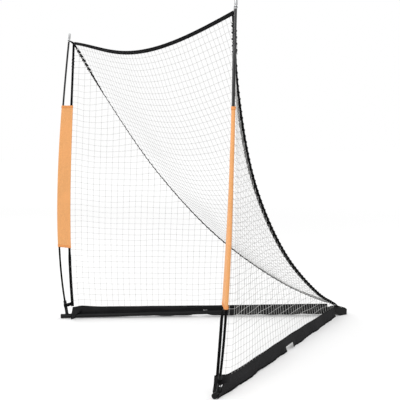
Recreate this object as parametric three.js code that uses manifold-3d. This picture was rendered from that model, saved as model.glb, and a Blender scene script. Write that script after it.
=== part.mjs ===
// Knock-down lacrosse goal: two bowed poles stand in sockets on a V-shaped base of tubes,
// and a net edged with webbing is stretched between the pole tips and the rear corner.
// Millimetres, +X across the mouth, +Y back into the goal, +Z up. The right side is modelled
// and the left side is its mirror image.
import * as THREE from 'three';
import { mergeVertices } from 'three/addons/utils/BufferGeometryUtils.js';
import Module from 'manifold-3d';

const wasm = await Module();
wasm.setup();

// Base frame
const mouthWidth = 1829;
const frameDepth = 1573;
const tubeDiameter = 28;
const tubeWall = 1.5;
const frontOverhang = 44;
const rearAxisRise = 32;
const legJointShare = 0.5;
const spigotLength = 80;
const swageLength = 6;
const capDiameter = 30;
const capFlange = 7;
const capEdge = 2;
const capPlugLength = 22;
const capPlugWall = 2.5;

// Rear corner block
const hubSetback = 75;
const hubSpigotLength = 60;
const hubArmDiameter = 31;
const hubWidth = 54;
const hubTopLength = 25;
const hubFrontLength = 15;
const hubRearReach = 92;
const hubFootLength = 65;
const hubNoseHeight = 40;

// Pole sockets and poles
const poleLeanOut = 15;
const poleLeanForward = 3;
const socketDiameter = 20.8;
const socketWall = 2;
const socketLength = 105;
const footWall = 1.2;
const footStart = 18;
const footTop = 101;
const poleDiameter = 12.7;
const poleFitGap = 0.45;
const poleRise = 480;
const poleShoulder = { out: 100, back: 10, up: 1250 };
const poleTop = { out: 45, back: 63, up: 1851 };
const ferruleDiameter = 16;
const ferruleLength = 120;
const ferruleShare = 0.44;
const ferruleMeetGap = 1;

// Pole tips
const tipDiameter = 17.4;
const tipNeckDiameter = 15.2;
const tipNeckLength = 17;
const tipTaper = 3;
const tipBoreDepth = 30;
const tipLength = 54;
const tipRound = 5;

// Snap buttons and their spring clips
const buttonDiameter = 7;
const buttonDome = 2;
const buttonProtrusion = 3;
const buttonFlangeDiameter = 9.2;
const buttonFlangeThickness = 1;
const legButtonSetback = 40;
const socketButtonHeight = 50;
const socketButtonForward = 18;
const clipWidth = 7;
const clipThickness = 0.7;
const clipLength = 30;
const clipOverlap = 7;
const clipFarEdgeGap = 1.2;

// Webbing and net
const cornerInset = 41;
const cornerBehind = 16;
const cornerDrop = 12;
const topWebbingWidth = 22;
const edgeWebbingWidth = 20;
const diagonalWebbingWidth = 25;
const webbingThickness = 2;
const topSag = 118;
const topFlatShare = 0.46;
const topBackBow = 55;
const edgeBottom = { out: -40, back: 22, up: 88 };
const edgeLowBend = { out: 48, back: 17, up: 680 };
const edgeHighBend = { out: 31, back: 60, up: 1254 };
const diagonalHigh = { x: 735, y: 234, z: 1462 };
const diagonalMiddle = { x: 530, y: 493, z: 989 };
const diagonalLow = { x: 343, y: 852, z: 552 };
const diagonalFoot = { x: 169, y: 1265, z: 229 };
const diagonalEndAside = 19;
const diagonalEndBehind = 17;
const diagonalEndSeat = 0.6;
const diagonalStart = 46;
const netCell = 141;
const netStrand = 6;
const netThickness = 3;
const netSeam = 2;
const netSideInset = 7.4;
const netTailWidth = 44;
const netSmallestGapShare = 0.08;
const netHem = 7;

// Loops at the net's corners and the pocket over the rear corner
const cordDiameter = 4;
const strapWidth = 22;
const strapThickness = 1.6;
const strapHeight = 72;
const strapRise = 14;
const pocketWidth = 40;
const pocketThickness = 2;
const pocketDrop = 28;

// Sleeves over the poles
const sleeveBottom = 455;
const sleeveTop = 1420;
const sleeveThickness = 1.6;
const sleevePoleGap = 1;
const sleeveEdgeRadius = 4.6;

// Skirts along the base
const skirtThickness = 1.6;
const skirtTopHeight = 76;
const skirtFrontHeight = 85;
const skirtFrontInset = 40;
const skirtFrontStart = 42;
const skirtFrontSlant = 14;
const skirtSlitStart = 16;
const skirtFallEnd = 250;
const skirtToeTuck = 3;
const skirtTurnStart = 43;
const skirtLiftStart = 50;
const skirtLiftEnd = 64;
const skirtWrapStart = 104;
const skirtTubeGap = 2;
const skirtCapGap = 4;
const skirtSlitRise = 9;
const skirtShoulder = 16;
const skirtHemFlare = 6;
const skirtHemHeight = 3;
const skirtLean = 5;
const skirtRearLean = 22;
const skirtNotchShare = 0.505;
const skirtNotchLength = 70;
const skirtRearGap = 44;
const skirtFoldShare = 0.5;
const skirtWave = 2.5;
const skirtWaveCount = 7;

// Clearances and facets
const fitGap = 0.3;
const cutOverrun = 4;
const roundSides = 24;
const poleSides = 12;
const cordSides = 8;
const poleSteps = 14;
const webbingSteps = 18;
const skirtSteps = 26;
const skirtRows = 5;
const skirtSlitRow = 2;
const loopSteps = 14;
const sleeveSteps = 9;
const diagonalSamples = 90;

// Materials
const finish = (color, roughness, metalness) => ({ color, roughness, metalness });
const blackPaint = finish(0x17181a, 0.35, 0.3);
const blackGlassfibre = finish(0x1b1c1e, 0.3, 0.1);
const blackPlastic = finish(0x141414, 0.6, 0);
const blackRubber = finish(0x111111, 0.85, 0);
const springSteel = finish(0xb9bcc0, 0.3, 0.9);
const zincSteel = finish(0x8e9296, 0.4, 0.85);
const silverAluminium = finish(0xd2d4d6, 0.28, 0.9);
const blackWebbing = finish(0x141415, 0.9, 0);
const blackCloth = finish(0x242424, 0.92, 0);
const orangeCloth = finish(0xf97a35, 0.85, 0);
const whiteCord = finish(0xeeeeec, 0.9, 0);

const goal = new THREE.Group();

function vec(x, y, z) {
  return new THREE.Vector3(x, y, z);
}

function along(origin, direction, distance) {
  return origin.clone().addScaledVector(direction, distance);
}

function square(direction, axis) {
  return direction.clone().addScaledVector(axis, -direction.dot(axis)).normalize();
}

// Closed meshes: shared vertices, no empty triangles, faces outward
function closedMesh(geometry) {
  const bare = geometry.clone();
  bare.deleteAttribute('normal');
  bare.deleteAttribute('uv');
  const merged = mergeVertices(bare);
  const place = merged.getAttribute('position');
  const source = merged.getIndex().array;
  const faces = [];
  let volume = 0;
  for (let i = 0; i < source.length; i += 3) {
    const [a, b, c] = source.slice(i, i + 3);
    if (a === b || b === c || c === a) continue;
    faces.push([a, b, c]);
    const corners = [a, b, c].map((k) => new THREE.Vector3().fromBufferAttribute(place, k));
    volume += corners[0].dot(corners[1].cross(corners[2]));
  }
  const outward = volume < 0 ? faces.map(([a, b, c]) => [a, c, b]) : faces;
  merged.setIndex(outward.flat());
  merged.computeVertexNormals();
  return merged;
}

function solidOf(geometry) {
  const mesh = closedMesh(geometry);
  return new wasm.Manifold(new wasm.Mesh({
    numProp: 3,
    vertProperties: new Float32Array(mesh.getAttribute('position').array),
    triVerts: new Uint32Array(mesh.getIndex().array),
  }));
}

function geometryOf(solid) {
  const mesh = solid.getMesh();
  const geometry = new THREE.BufferGeometry();
  geometry.setAttribute('position', new THREE.BufferAttribute(mesh.vertProperties, mesh.numProp));
  geometry.setIndex(new THREE.BufferAttribute(mesh.triVerts, 1));
  geometry.computeVertexNormals();
  return geometry;
}

function cut(geometry, ...tools) {
  return geometryOf(tools.reduce((solid, tool) => solid.subtract(solidOf(tool)), solidOf(geometry)));
}

function join(...geometries) {
  const solids = geometries.map(solidOf);
  return geometryOf(solids.slice(1).reduce((solid, next) => solid.add(next), solids[0]));
}

// A solid turned about local Z from [radius, height] points
function turned(profile, sides = roundSides) {
  const points = profile.map(([radius, height]) => new THREE.Vector2(radius, height));
  return closedMesh(new THREE.LatheGeometry(points, sides).rotateX(Math.PI / 2));
}

function tube(innerRadius, outerRadius, start, end) {
  return turned([
    [innerRadius, start],
    [outerRadius, start],
    [outerRadius, end],
    [innerRadius, end],
    [innerRadius, start],
  ]);
}

function rod(radius, start, end) {
  return turned([[0, start], [radius, start], [radius, end], [0, end]]);
}

// A skin through rings of points, closed at its ends or into a loop
function loft(rings, isLoop = false) {
  const sides = rings[0].length;
  const faces = [];
  const spans = isLoop ? rings.length : rings.length - 1;
  for (let i = 0; i < spans; i += 1) {
    const near = i * sides;
    const far = ((i + 1) % rings.length) * sides;
    for (let j = 0; j < sides; j += 1) {
      const k = (j + 1) % sides;
      faces.push(near + j, near + k, far + k, near + j, far + k, far + j);
    }
  }
  if (!isLoop) {
    const last = (rings.length - 1) * sides;
    for (let j = 1; j < sides - 1; j += 1) {
      faces.push(0, j + 1, j, last, last + j, last + j + 1);
    }
  }
  const geometry = new THREE.BufferGeometry();
  geometry.setAttribute('position', new THREE.Float32BufferAttribute(
    rings.flat().flatMap((point) => point.toArray()), 3));
  geometry.setIndex(faces);
  return closedMesh(geometry);
}

function tangents(points, isLoop) {
  const last = points.length - 1;
  return points.map((point, i) => {
    const before = i > 0 ? points[i - 1] : points[isLoop ? last : 0];
    const after = i < last ? points[i + 1] : points[isLoop ? 0 : last];
    return after.clone().sub(before).normalize();
  });
}

// A flat band along points, its width lying towards a given direction
function band(points, widthDirection, width, thickness, isLoop = false) {
  const headings = tangents(points, isLoop);
  const rings = points.map((point, i) => {
    const across = square(widthDirection, headings[i]).multiplyScalar(width / 2);
    const depth = headings[i].clone().cross(across).normalize().multiplyScalar(thickness / 2);
    return [[1, 1], [-1, 1], [-1, -1], [1, -1]].map(([a, b]) => (
      point.clone().addScaledVector(across, a).addScaledVector(depth, b)));
  });
  return loft(rings, isLoop);
}

function roundBar(points, sideDirection, radius, sides, isLoop = false) {
  const headings = tangents(points, isLoop);
  const rings = points.map((point, i) => {
    const across = square(sideDirection, headings[i]);
    const depth = headings[i].clone().cross(across);
    return Array.from({ length: sides }, (_, j) => {
      const angle = (2 * Math.PI * j) / sides;
      return along(along(point, across, radius * Math.cos(angle)), depth, radius * Math.sin(angle));
    });
  });
  return loft(rings, isLoop);
}

// Pieces of the scene
function addPiece(name, geometry, look, position = vec(0, 0, 0), turn = new THREE.Quaternion()) {
  const mesh = new THREE.Mesh(geometry, new THREE.MeshStandardMaterial(look));
  mesh.name = name;
  mesh.position.copy(position);
  mesh.quaternion.copy(turn);
  goal.add(mesh);
}

function addPair(name, geometry, look, position = vec(0, 0, 0), turn = new THREE.Quaternion()) {
  addPiece(`right_${name}`, geometry, look, position, turn);
  addPiece(
    `left_${name}`,
    closedMesh(geometry.clone().scale(-1, 1, 1)),
    look,
    vec(-position.x, position.y, position.z),
    new THREE.Quaternion(turn.x, -turn.y, -turn.z, turn.w),
  );
}

// A turn that lays local Z along an axis and local X towards a side
function facing(axis, side) {
  const x = square(side, axis);
  const basis = new THREE.Matrix4().makeBasis(x, axis.clone().cross(x), axis);
  return new THREE.Quaternion().setFromRotationMatrix(basis);
}

// Axes of the right-hand side
const up = vec(0, 0, 1);
const tubeRadius = tubeDiameter / 2;
const tubeBore = tubeRadius - tubeWall;
const capRadius = capDiameter / 2;
const poleFoot = vec(mouthWidth / 2, 0, capRadius);
const legHeading = vec(-mouthWidth / 2, frameDepth, 0).normalize();
const legOutward = vec(legHeading.y, -legHeading.x, 0);
const legFront = along(poleFoot, legHeading, -frontOverhang);
const legCross = vec(0, frameDepth, capRadius + rearAxisRise);
const legAxis = legCross.clone().sub(legFront).normalize();
const legLength = legCross.distanceTo(legFront);
const legTurn = facing(legAxis, legOutward);
const jointPlace = legLength * legJointShare;
const rearTubeEnd = legLength - hubSetback;
const poleRadius = poleDiameter / 2;
const poleAxis = vec(
  Math.tan(THREE.MathUtils.degToRad(poleLeanOut)),
  -Math.tan(THREE.MathUtils.degToRad(poleLeanForward)),
  1,
).normalize();

function fromFoot({ out, back, up: height }) {
  return vec(mouthWidth / 2 + out, back, height);
}

// Base tubes with their caps
const spigotRadius = tubeBore - fitGap;
const spigotBore = spigotRadius - tubeWall;
const buttonHoleRadius = buttonDiameter / 2 + fitGap;

function sidewaysCut(distance, radius, reach) {
  return rod(radius, 0, reach).rotateY(Math.PI / 2).translate(0, 0, distance);
}

const legButtonPlace = jointPlace - legButtonSetback;
const legButtonCut = sidewaysCut(legButtonPlace, buttonHoleRadius, tubeRadius + cutOverrun);

function frontLegTube() {
  return cut(tube(tubeBore, tubeRadius, capFlange + fitGap, jointPlace), legButtonCut);
}

function rearLegTube() {
  const body = turned([
    [spigotBore, jointPlace - spigotLength],
    [spigotRadius, jointPlace - spigotLength],
    [spigotRadius, jointPlace + fitGap],
    [tubeRadius, jointPlace + fitGap],
    [tubeRadius, rearTubeEnd],
    [tubeBore, rearTubeEnd],
    [tubeBore, jointPlace + fitGap + swageLength],
    [spigotBore, jointPlace + fitGap],
    [spigotBore, jointPlace - spigotLength],
  ]);
  return cut(body, legButtonCut);
}

function legCap() {
  const plugRadius = tubeBore - fitGap;
  const plugBore = plugRadius - capPlugWall;
  return turned([
    [0, 0],
    [capRadius - capEdge, 0],
    [capRadius, capEdge],
    [capRadius, capFlange],
    [plugRadius, capFlange],
    [plugRadius, capPlugLength],
    [plugBore, capPlugLength],
    [plugBore, capFlange],
    [0, capFlange],
  ]);
}

addPair('front_leg_tube', frontLegTube(), blackPaint, legFront, legTurn);
addPair('rear_leg_tube', rearLegTube(), blackPaint, legFront, legTurn);
addPair('leg_cap', legCap(), blackRubber, legFront, legTurn);

// Rear corner block with an arm and a spigot for each base tube
const hubArmRadius = hubArmDiameter / 2;
const hubTop = legCross.z + hubArmRadius;

function placedOnLeg(geometry) {
  const place = new THREE.Matrix4().compose(legFront, legTurn, vec(1, 1, 1));
  return geometry.clone().applyMatrix4(place);
}

function hubArm() {
  const arm = rod(hubArmRadius, rearTubeEnd + fitGap, legLength);
  const spigot = rod(tubeBore - fitGap, rearTubeEnd - hubSpigotLength, rearTubeEnd + hubArmRadius);
  return placedOnLeg(join(arm, spigot));
}

function hubBlock() {
  const side = new THREE.Shape([
    [-hubFrontLength, legCross.z - hubArmRadius],
    [hubRearReach - hubFootLength, 0],
    [hubRearReach, 0],
    [hubRearReach, hubNoseHeight],
    [hubTopLength, hubTop],
    [-hubFrontLength, hubTop],
  ].map(([y, z]) => new THREE.Vector2(frameDepth + y, z)));
  return new THREE.ExtrudeGeometry(side, { depth: hubWidth, bevelEnabled: false })
    .applyMatrix4(new THREE.Matrix4().makeBasis(vec(0, 1, 0), up, vec(1, 0, 0)))
    .translate(-hubWidth / 2, 0, 0);
}

const rightArm = hubArm();
addPiece('rear_corner_block', join(hubBlock(), rightArm, rightArm.clone().scale(-1, 1, 1)),
  blackPlastic);

// Sockets on the base tubes, seen along the poles' lower ends
const socketRadius = socketDiameter / 2;
const socketBore = socketRadius - socketWall;
const footRadius = socketBore - fitGap;
const footBore = footRadius - footWall;
const buttonSide = vec(
  Math.cos(THREE.MathUtils.degToRad(socketButtonForward)),
  -Math.sin(THREE.MathUtils.degToRad(socketButtonForward)),
  0,
);
const poleTurn = facing(poleAxis, buttonSide);
const poleFrame = new THREE.Matrix4().compose(poleFoot, poleTurn, vec(1, 1, 1));
const socketButtonCut = sidewaysCut(socketButtonHeight, buttonHoleRadius,
  socketRadius + cutOverrun);

function poleSocket() {
  const saddle = placedOnLeg(rod(tubeRadius + fitGap, 0, legLength))
    .applyMatrix4(poleFrame.clone().invert());
  return cut(tube(socketBore, socketRadius, 0, socketLength), saddle, socketButtonCut);
}

function poleFootTube() {
  return cut(tube(footBore, footRadius, footStart, footTop), socketButtonCut);
}

addPair('pole_socket', poleSocket(), blackPaint, poleFoot, poleTurn);
addPair('pole_foot', poleFootTube(), zincSteel, poleFoot, poleTurn);

// Bowed poles in two halves, a ferrule over their meeting ends, and the tips
const poleLeave = along(poleFoot, poleAxis, socketLength);
const poleBend = new THREE.CubicBezierCurve3(
  poleLeave,
  along(poleLeave, poleAxis, poleRise),
  fromFoot(poleShoulder),
  fromFoot(poleTop),
);
const tipAxis = poleBend.getTangent(1);
const tipTurn = facing(tipAxis, vec(1, 0, 0));
const ferrulePlace = poleBend.getPointAt(ferruleShare);
const ferruleAxis = poleBend.getTangentAt(ferruleShare);
const meetShare = ferruleMeetGap / 2 / poleBend.getLength();
const fitBore = poleRadius + poleFitGap;

function poleHalf(points) {
  return roundBar(points, vec(1, 0, 0), poleRadius, poleSides);
}

function bendPoints(start, end) {
  return Array.from({ length: poleSteps + 1 }, (_, i) => (
    poleBend.getPointAt(start + ((end - start) * i) / poleSteps)));
}

function tipCap() {
  const neck = tipNeckDiameter / 2;
  const head = tipDiameter / 2;
  return turned([
    [fitBore, 0],
    [neck, 0],
    [neck, tipNeckLength],
    [head, tipNeckLength + tipTaper],
    [head, tipLength - tipRound],
    [head - tipRound / 2, tipLength - tipRound / 4],
    [0, tipLength],
    [0, tipBoreDepth + fitGap],
    [fitBore, tipBoreDepth + fitGap],
    [fitBore, 0],
  ]);
}

addPair('lower_pole', poleHalf([
  along(poleFoot, poleAxis, socketButtonHeight + clipLength + cutOverrun),
  ...bendPoints(0, ferruleShare - meetShare),
]), blackGlassfibre);
addPair('upper_pole', poleHalf([
  ...bendPoints(ferruleShare + meetShare, 1),
  along(poleBend.getPoint(1), tipAxis, tipBoreDepth),
]), blackGlassfibre);
addPair('pole_ferrule', tube(fitBore, ferruleDiameter / 2, -ferruleLength / 2, ferruleLength / 2),
  zincSteel, ferrulePlace, facing(ferruleAxis, vec(1, 0, 0)));
addPair('pole_tip', tipCap(), silverAluminium, poleBend.getPoint(1), tipTurn);

// Snap buttons, pushed out through both walls by a folded clip inside the inner tube
const flangeRadius = buttonFlangeDiameter / 2;
const buttonRadius = buttonDiameter / 2;

function flangeTop(bore) {
  return Math.sqrt(bore ** 2 - flangeRadius ** 2) - fitGap;
}

function snapButton(bore, outerRadius) {
  const top = outerRadius + buttonProtrusion;
  const shelf = flangeTop(bore);
  return turned([
    [0, shelf - buttonFlangeThickness],
    [flangeRadius, shelf - buttonFlangeThickness],
    [flangeRadius, shelf],
    [buttonRadius, shelf],
    [buttonRadius, top - buttonDome],
    [buttonRadius - buttonDome / 2, top - buttonDome / 4],
    [0, top],
  ]);
}

// Local Z is the button's way out, local X runs along the tube
function springClip(bore) {
  const nearArm = flangeTop(bore) - buttonFlangeThickness - fitGap - clipThickness / 2;
  const farArm = clipThickness / 2 + fitGap - Math.sqrt(bore ** 2 - (clipWidth / 2) ** 2);
  const bendRadius = (nearArm - farArm) / 2;
  const bend = Array.from({ length: cordSides + 1 }, (_, i) => {
    const angle = Math.PI / 2 + (Math.PI * i) / cordSides;
    return vec(
      bendRadius * Math.cos(angle) - clipLength + bendRadius,
      0,
      bendRadius * Math.sin(angle) + (nearArm + farArm) / 2,
    );
  });
  const path = [vec(clipOverlap, 0, nearArm), ...bend, vec(clipOverlap - clipFarEdgeGap, 0, farArm)];
  return band(path, vec(0, 1, 0), clipWidth, clipThickness);
}

function addSnapButton(name, origin, wayOut, tubeAxis, bore, outerRadius) {
  const turn = facing(wayOut, tubeAxis);
  addPair(`${name}_button`, snapButton(bore, outerRadius), springSteel, origin, turn);
  addPair(`${name}_spring_clip`, springClip(bore), springSteel, origin, turn);
}

const socketButtonOut = square(buttonSide, poleAxis);
addSnapButton('leg', along(legFront, legAxis, legButtonPlace), square(legOutward, legAxis),
  legAxis, spigotBore, tubeRadius);
addSnapButton('socket', along(poleFoot, poleAxis, socketButtonHeight), socketButtonOut,
  poleAxis.clone().negate(), footBore, socketRadius);

// Webbing: top edge, front edges beside the poles, and the edges that slope to the rear corner
const corner = fromFoot(poleTop).add(vec(-cornerInset, cornerBehind, -cornerDrop));

function strapDrop(share) {
  return topSag * (1 - share ** 2) * (1 - topFlatShare * share ** 2);
}

function strapBow(share) {
  return topBackBow * (1 - share ** 2) * share ** 2;
}

function topPoint(share) {
  return vec(corner.x * share, corner.y + strapBow(share), corner.z - strapDrop(share));
}

const topShares = Array.from({ length: 2 * webbingSteps + 1 }, (_, i) => i / webbingSteps - 1);
addPiece('top_webbing', band(topShares.map(topPoint), up, topWebbingWidth, webbingThickness),
  blackWebbing);

const edgeTop = corner.clone().setZ(corner.z - topWebbingWidth / 2 - netSeam / 2);
const edgeCurve = new THREE.CubicBezierCurve3(fromFoot(edgeBottom), fromFoot(edgeLowBend),
  fromFoot(edgeHighBend), edgeTop);
const edgeRun = edgeCurve.getPoints(diagonalSamples);
const poleRun = poleBend.getPoints(diagonalSamples);

function edgeLay(height) {
  const pole = placeWhere(poleRun, (point) => point.z, height);
  return pole.sub(placeWhere(edgeRun, (point) => point.z, height)).setZ(0).normalize();
}

addPair('edge_webbing', band(edgeCurve.getPoints(webbingSteps),
  edgeLay((sleeveBottom + sleeveTop) / 2), edgeWebbingWidth, webbingThickness), blackWebbing);

const diagonalEnd = vec(
  diagonalEndAside,
  frameDepth + diagonalEndBehind,
  hubTop + fitGap + pocketThickness + diagonalEndSeat + webbingThickness / 2,
);
const diagonalCurve = new THREE.CatmullRomCurve3([
  corner,
  ...[diagonalHigh, diagonalMiddle, diagonalLow, diagonalFoot].map(({ x, y, z }) => vec(x, y, z)),
  diagonalEnd,
]);
const diagonalStartShare = diagonalStart / diagonalCurve.getLength();
const diagonalPoints = Array.from({ length: webbingSteps + 1 }, (_, i) => (
  diagonalCurve.getPointAt(diagonalStartShare + ((1 - diagonalStartShare) * i) / webbingSteps)));
addPair('diagonal_webbing', band(diagonalPoints, vec(1, 0, 0), diagonalWebbingWidth,
  webbingThickness), blackWebbing);

// A place on a run of points where a measure reaches a value
function placeWhere(points, measure, value) {
  const inside = THREE.MathUtils.clamp(
    value,
    Math.min(measure(points[0]), measure(points.at(-1))),
    Math.max(measure(points[0]), measure(points.at(-1))),
  );
  const next = points.findIndex((point, i) => (
    i > 0 && (measure(points[i - 1]) - inside) * (measure(point) - inside) <= 0));
  const before = points[next - 1];
  const share = (inside - measure(before)) / (measure(points[next]) - measure(before));
  return before.clone().lerp(points[next], share);
}

// Square net cells between a straight edge and a limit that shrinks along it
function crossing(limit, level, start, end) {
  let low = start;
  let high = end;
  while (high - low > fitGap) {
    const middle = (low + high) / 2;
    if (limit(middle) > level) low = middle;
    else high = middle;
  }
  return (low + high) / 2;
}

function cellCorners(start, end, low, high, limit) {
  const corners = [[start, low]];
  if (limit(end) > low) {
    corners.push([end, low], [end, Math.min(high, limit(end))]);
  } else {
    corners.push([crossing(limit, low, start, end), low]);
  }
  if (limit(end) < high && limit(start) > high) {
    corners.push([crossing(limit, high, start, end), high]);
  }
  corners.push([start, Math.min(high, limit(start))]);
  return corners.map(([x, y]) => new THREE.Vector2(x, y));
}

function netCells(first, last, limit) {
  const columns = Math.max(1, Math.round((last - first) / netCell));
  const edges = Array.from({ length: columns + 1 }, (_, i) => (
    i < columns ? first + ((last - first) * i) / columns : last));
  return edges.slice(1).flatMap((end, i) => {
    const rows = Math.ceil(limit(edges[i]) / netCell);
    return Array.from({ length: rows }, (_, j) => (
      cellCorners(edges[i], end, j * netCell, (j + 1) * netCell, limit)));
  });
}

// The opening of a cell, with every edge moved in by its own strand
function gapCorners(corners, strandBeside) {
  const lines = corners.map((corner, i) => {
    const next = corners[(i + 1) % corners.length];
    const heading = next.clone().sub(corner).normalize();
    const inward = new THREE.Vector2(-heading.y, heading.x);
    return { heading, from: corner.clone().addScaledVector(inward, strandBeside(corner, next)) };
  });
  const meet = (a, b) => a.from.clone().addScaledVector(a.heading,
    b.from.clone().sub(a.from).cross(b.heading) / a.heading.cross(b.heading));
  const inner = lines.map((line, i) => meet(lines.at(i - 1), line));
  lines.forEach(({ heading }, i) => {
    const next = (i + 1) % lines.length;
    if (inner[next].clone().sub(inner[i]).dot(heading) > 0) return;
    inner[i] = meet(lines.at(i - 1), lines[next]);
    inner[next] = inner[i].clone();
  });
  return inner;
}

// Faces of a net whose cells are drawn flat, then laid on their curved place
function netFaces(cells, isRim, layOut, faceDirection) {
  const faces = [];
  const quad = (a, b, c, d) => faces.push(a, b, c, a, c, d);
  const strandBeside = (a, b) => (isRim(a, b) ? netHem : netStrand / 2);
  const laid = (corners, side) => corners.map(({ x, y }) => (
    along(layOut(x, y), faceDirection, (side * netThickness) / 2)));
  cells.forEach((cell) => {
    const gap = gapCorners(cell, strandBeside);
    const hasGap = THREE.ShapeUtils.area(gap) > netSmallestGapShare * netCell ** 2;
    const [front, back] = [laid(cell, 1), laid(cell, -1)];
    const [frontGap, backGap] = hasGap ? [laid(gap, 1), laid(gap, -1)] : [];
    cell.forEach((corner, i) => {
      const j = (i + 1) % cell.length;
      if (isRim(corner, cell[j])) quad(back[i], back[j], front[j], front[i]);
      if (hasGap) {
        quad(front[i], front[j], frontGap[j], frontGap[i]);
        quad(back[j], back[i], backGap[i], backGap[j]);
        quad(frontGap[i], frontGap[j], backGap[j], backGap[i]);
      } else if (i > 0 && j > 0) {
        faces.push(front[0], front[i], front[j], back[0], back[j], back[i]);
      }
    });
  });
  return faces;
}

function meshOf(faces) {
  return closedMesh(new THREE.BufferGeometry().setFromPoints(faces)
    .setIndex(faces.map((_, i) => i)));
}

// Skirt lines, in the base tube's directions: distance along it, outward and up
function alongLeg(point) {
  return point.clone().sub(poleFoot).dot(legHeading);
}

function outOfLeg(point) {
  return point.clone().sub(poleFoot).dot(legOutward);
}

function onLeg(distance, outward, height) {
  return along(along(poleFoot, legHeading, distance), legOutward, outward).setZ(height);
}

const legRun = alongLeg(legCross);
const skirtEnd = legRun - skirtRearGap;

function smooth(value, start, end) {
  return THREE.MathUtils.smoothstep(value, start, end);
}

function skirtWrap(distance) {
  return smooth(distance, skirtTurnStart, skirtWrapStart);
}

function skirtTopOut(distance) {
  const lean = THREE.MathUtils.lerp(skirtLean, skirtRearLean, smooth(distance, legRun / 2, legRun));
  return THREE.MathUtils.lerp(-skirtFrontInset, lean, skirtWrap(distance));
}

function skirtTopUp(distance) {
  const fall = smooth(distance, skirtTurnStart, skirtFallEnd);
  return THREE.MathUtils.lerp(skirtFrontHeight, skirtTopHeight, fall);
}

function legAxisHeight(distance) {
  return capRadius + (rearAxisRise * (distance + frontOverhang)) / (legRun + frontOverhang);
}

// Points down the cloth: top edge, middle, inner fold, shoulder over the tube, side, hem.
// In front the cloth is slit below the inner fold, which hangs inside the socket there.
function skirtRow(row, distance) {
  const axisUp = legAxisHeight(distance);
  const sideOut = hubArmRadius + fitGap + skirtThickness / 2;
  const tubeTop = axisUp + hubArmRadius + 2 * skirtThickness;
  const top = new THREE.Vector2(skirtTopOut(distance), skirtTopUp(distance));
  const shoulder = new THREE.Vector2(sideOut, axisUp + skirtSlitRise)
    .lerp(new THREE.Vector2(skirtShoulder, tubeTop), smooth(distance, skirtSlitStart, skirtTurnStart));
  const insideTube = new THREE.Vector2(-sideOut - skirtTubeGap, tubeTop);
  const flare = THREE.MathUtils.lerp(-skirtToeTuck, skirtHemFlare, smooth(distance, 0, skirtWrapStart));
  const fold = new THREE.Vector2(
    THREE.MathUtils.lerp(-skirtFrontInset, insideTube.x,
      smooth(distance, skirtTurnStart, skirtLiftStart)),
    THREE.MathUtils.lerp(skirtHemHeight, insideTube.y,
      smooth(distance, skirtLiftStart, skirtLiftEnd)),
  ).lerp(shoulder.clone().lerp(top, skirtFoldShare), smooth(distance, skirtLiftEnd, skirtWrapStart));
  const rows = [
    top,
    top.clone().lerp(fold, skirtFoldShare),
    fold,
    shoulder,
    new THREE.Vector2(sideOut, axisUp),
    new THREE.Vector2(sideOut + flare, skirtHemHeight),
  ];
  return rows[row];
}

function skirtPoint(row, distance) {
  const { x: outward, y: height } = skirtRow(row, distance);
  const ripple = skirtWave * smooth(distance, skirtLiftEnd, 2 * skirtWrapStart);
  const wave = ripple * Math.sin((2 * Math.PI * skirtWaveCount * distance) / legRun);
  const reach = 1 - smooth(distance, skirtFrontStart, skirtLiftStart);
  const slant = skirtFrontSlant * reach * (1 - height / skirtTopUp(distance));
  const place = distance - (row > skirtSlitRow ? 0 : slant);
  return onLeg(place, outward + (row > skirtSlitRow ? wave + ripple : wave / 2), height);
}

// A cloth of even thickness over a grid of points, with some of its squares left out
function clothSheet(columns, rows, pointAt, faceDirection, isKept) {
  const grid = [];
  for (const side of [1, -1]) {
    for (let i = 0; i <= columns; i += 1) {
      for (let j = 0; j <= rows; j += 1) {
        grid.push(along(pointAt(i, j), faceDirection, (side * skirtThickness) / 2));
      }
    }
  }
  const layer = (columns + 1) * (rows + 1);
  const at = (i, j, below) => below * layer + i * (rows + 1) + j;
  const kept = (i, j) => i >= 0 && j >= 0 && i < columns && j < rows && isKept(i, j);
  const faces = [];
  const quad = (a, b, c, d) => faces.push(a, b, c, a, c, d);
  for (let i = 0; i < columns; i += 1) {
    for (let j = 0; j < rows; j += 1) {
      if (!kept(i, j)) continue;
      quad(at(i, j, 0), at(i + 1, j, 0), at(i + 1, j + 1, 0), at(i, j + 1, 0));
      quad(at(i, j, 1), at(i, j + 1, 1), at(i + 1, j + 1, 1), at(i + 1, j, 1));
      if (!kept(i - 1, j)) quad(at(i, j, 0), at(i, j + 1, 0), at(i, j + 1, 1), at(i, j, 1));
      if (!kept(i + 1, j)) {
        quad(at(i + 1, j + 1, 0), at(i + 1, j, 0), at(i + 1, j, 1), at(i + 1, j + 1, 1));
      }
      if (!kept(i, j - 1)) quad(at(i + 1, j, 0), at(i, j, 0), at(i, j, 1), at(i + 1, j, 1));
      if (!kept(i, j + 1)) {
        quad(at(i, j + 1, 0), at(i + 1, j + 1, 0), at(i + 1, j + 1, 1), at(i, j + 1, 1));
      }
    }
  }
  const geometry = new THREE.BufferGeometry();
  geometry.setAttribute('position', new THREE.Float32BufferAttribute(
    grid.flatMap((point) => point.toArray()), 3));
  geometry.setIndex(faces);
  return closedMesh(geometry);
}

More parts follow.
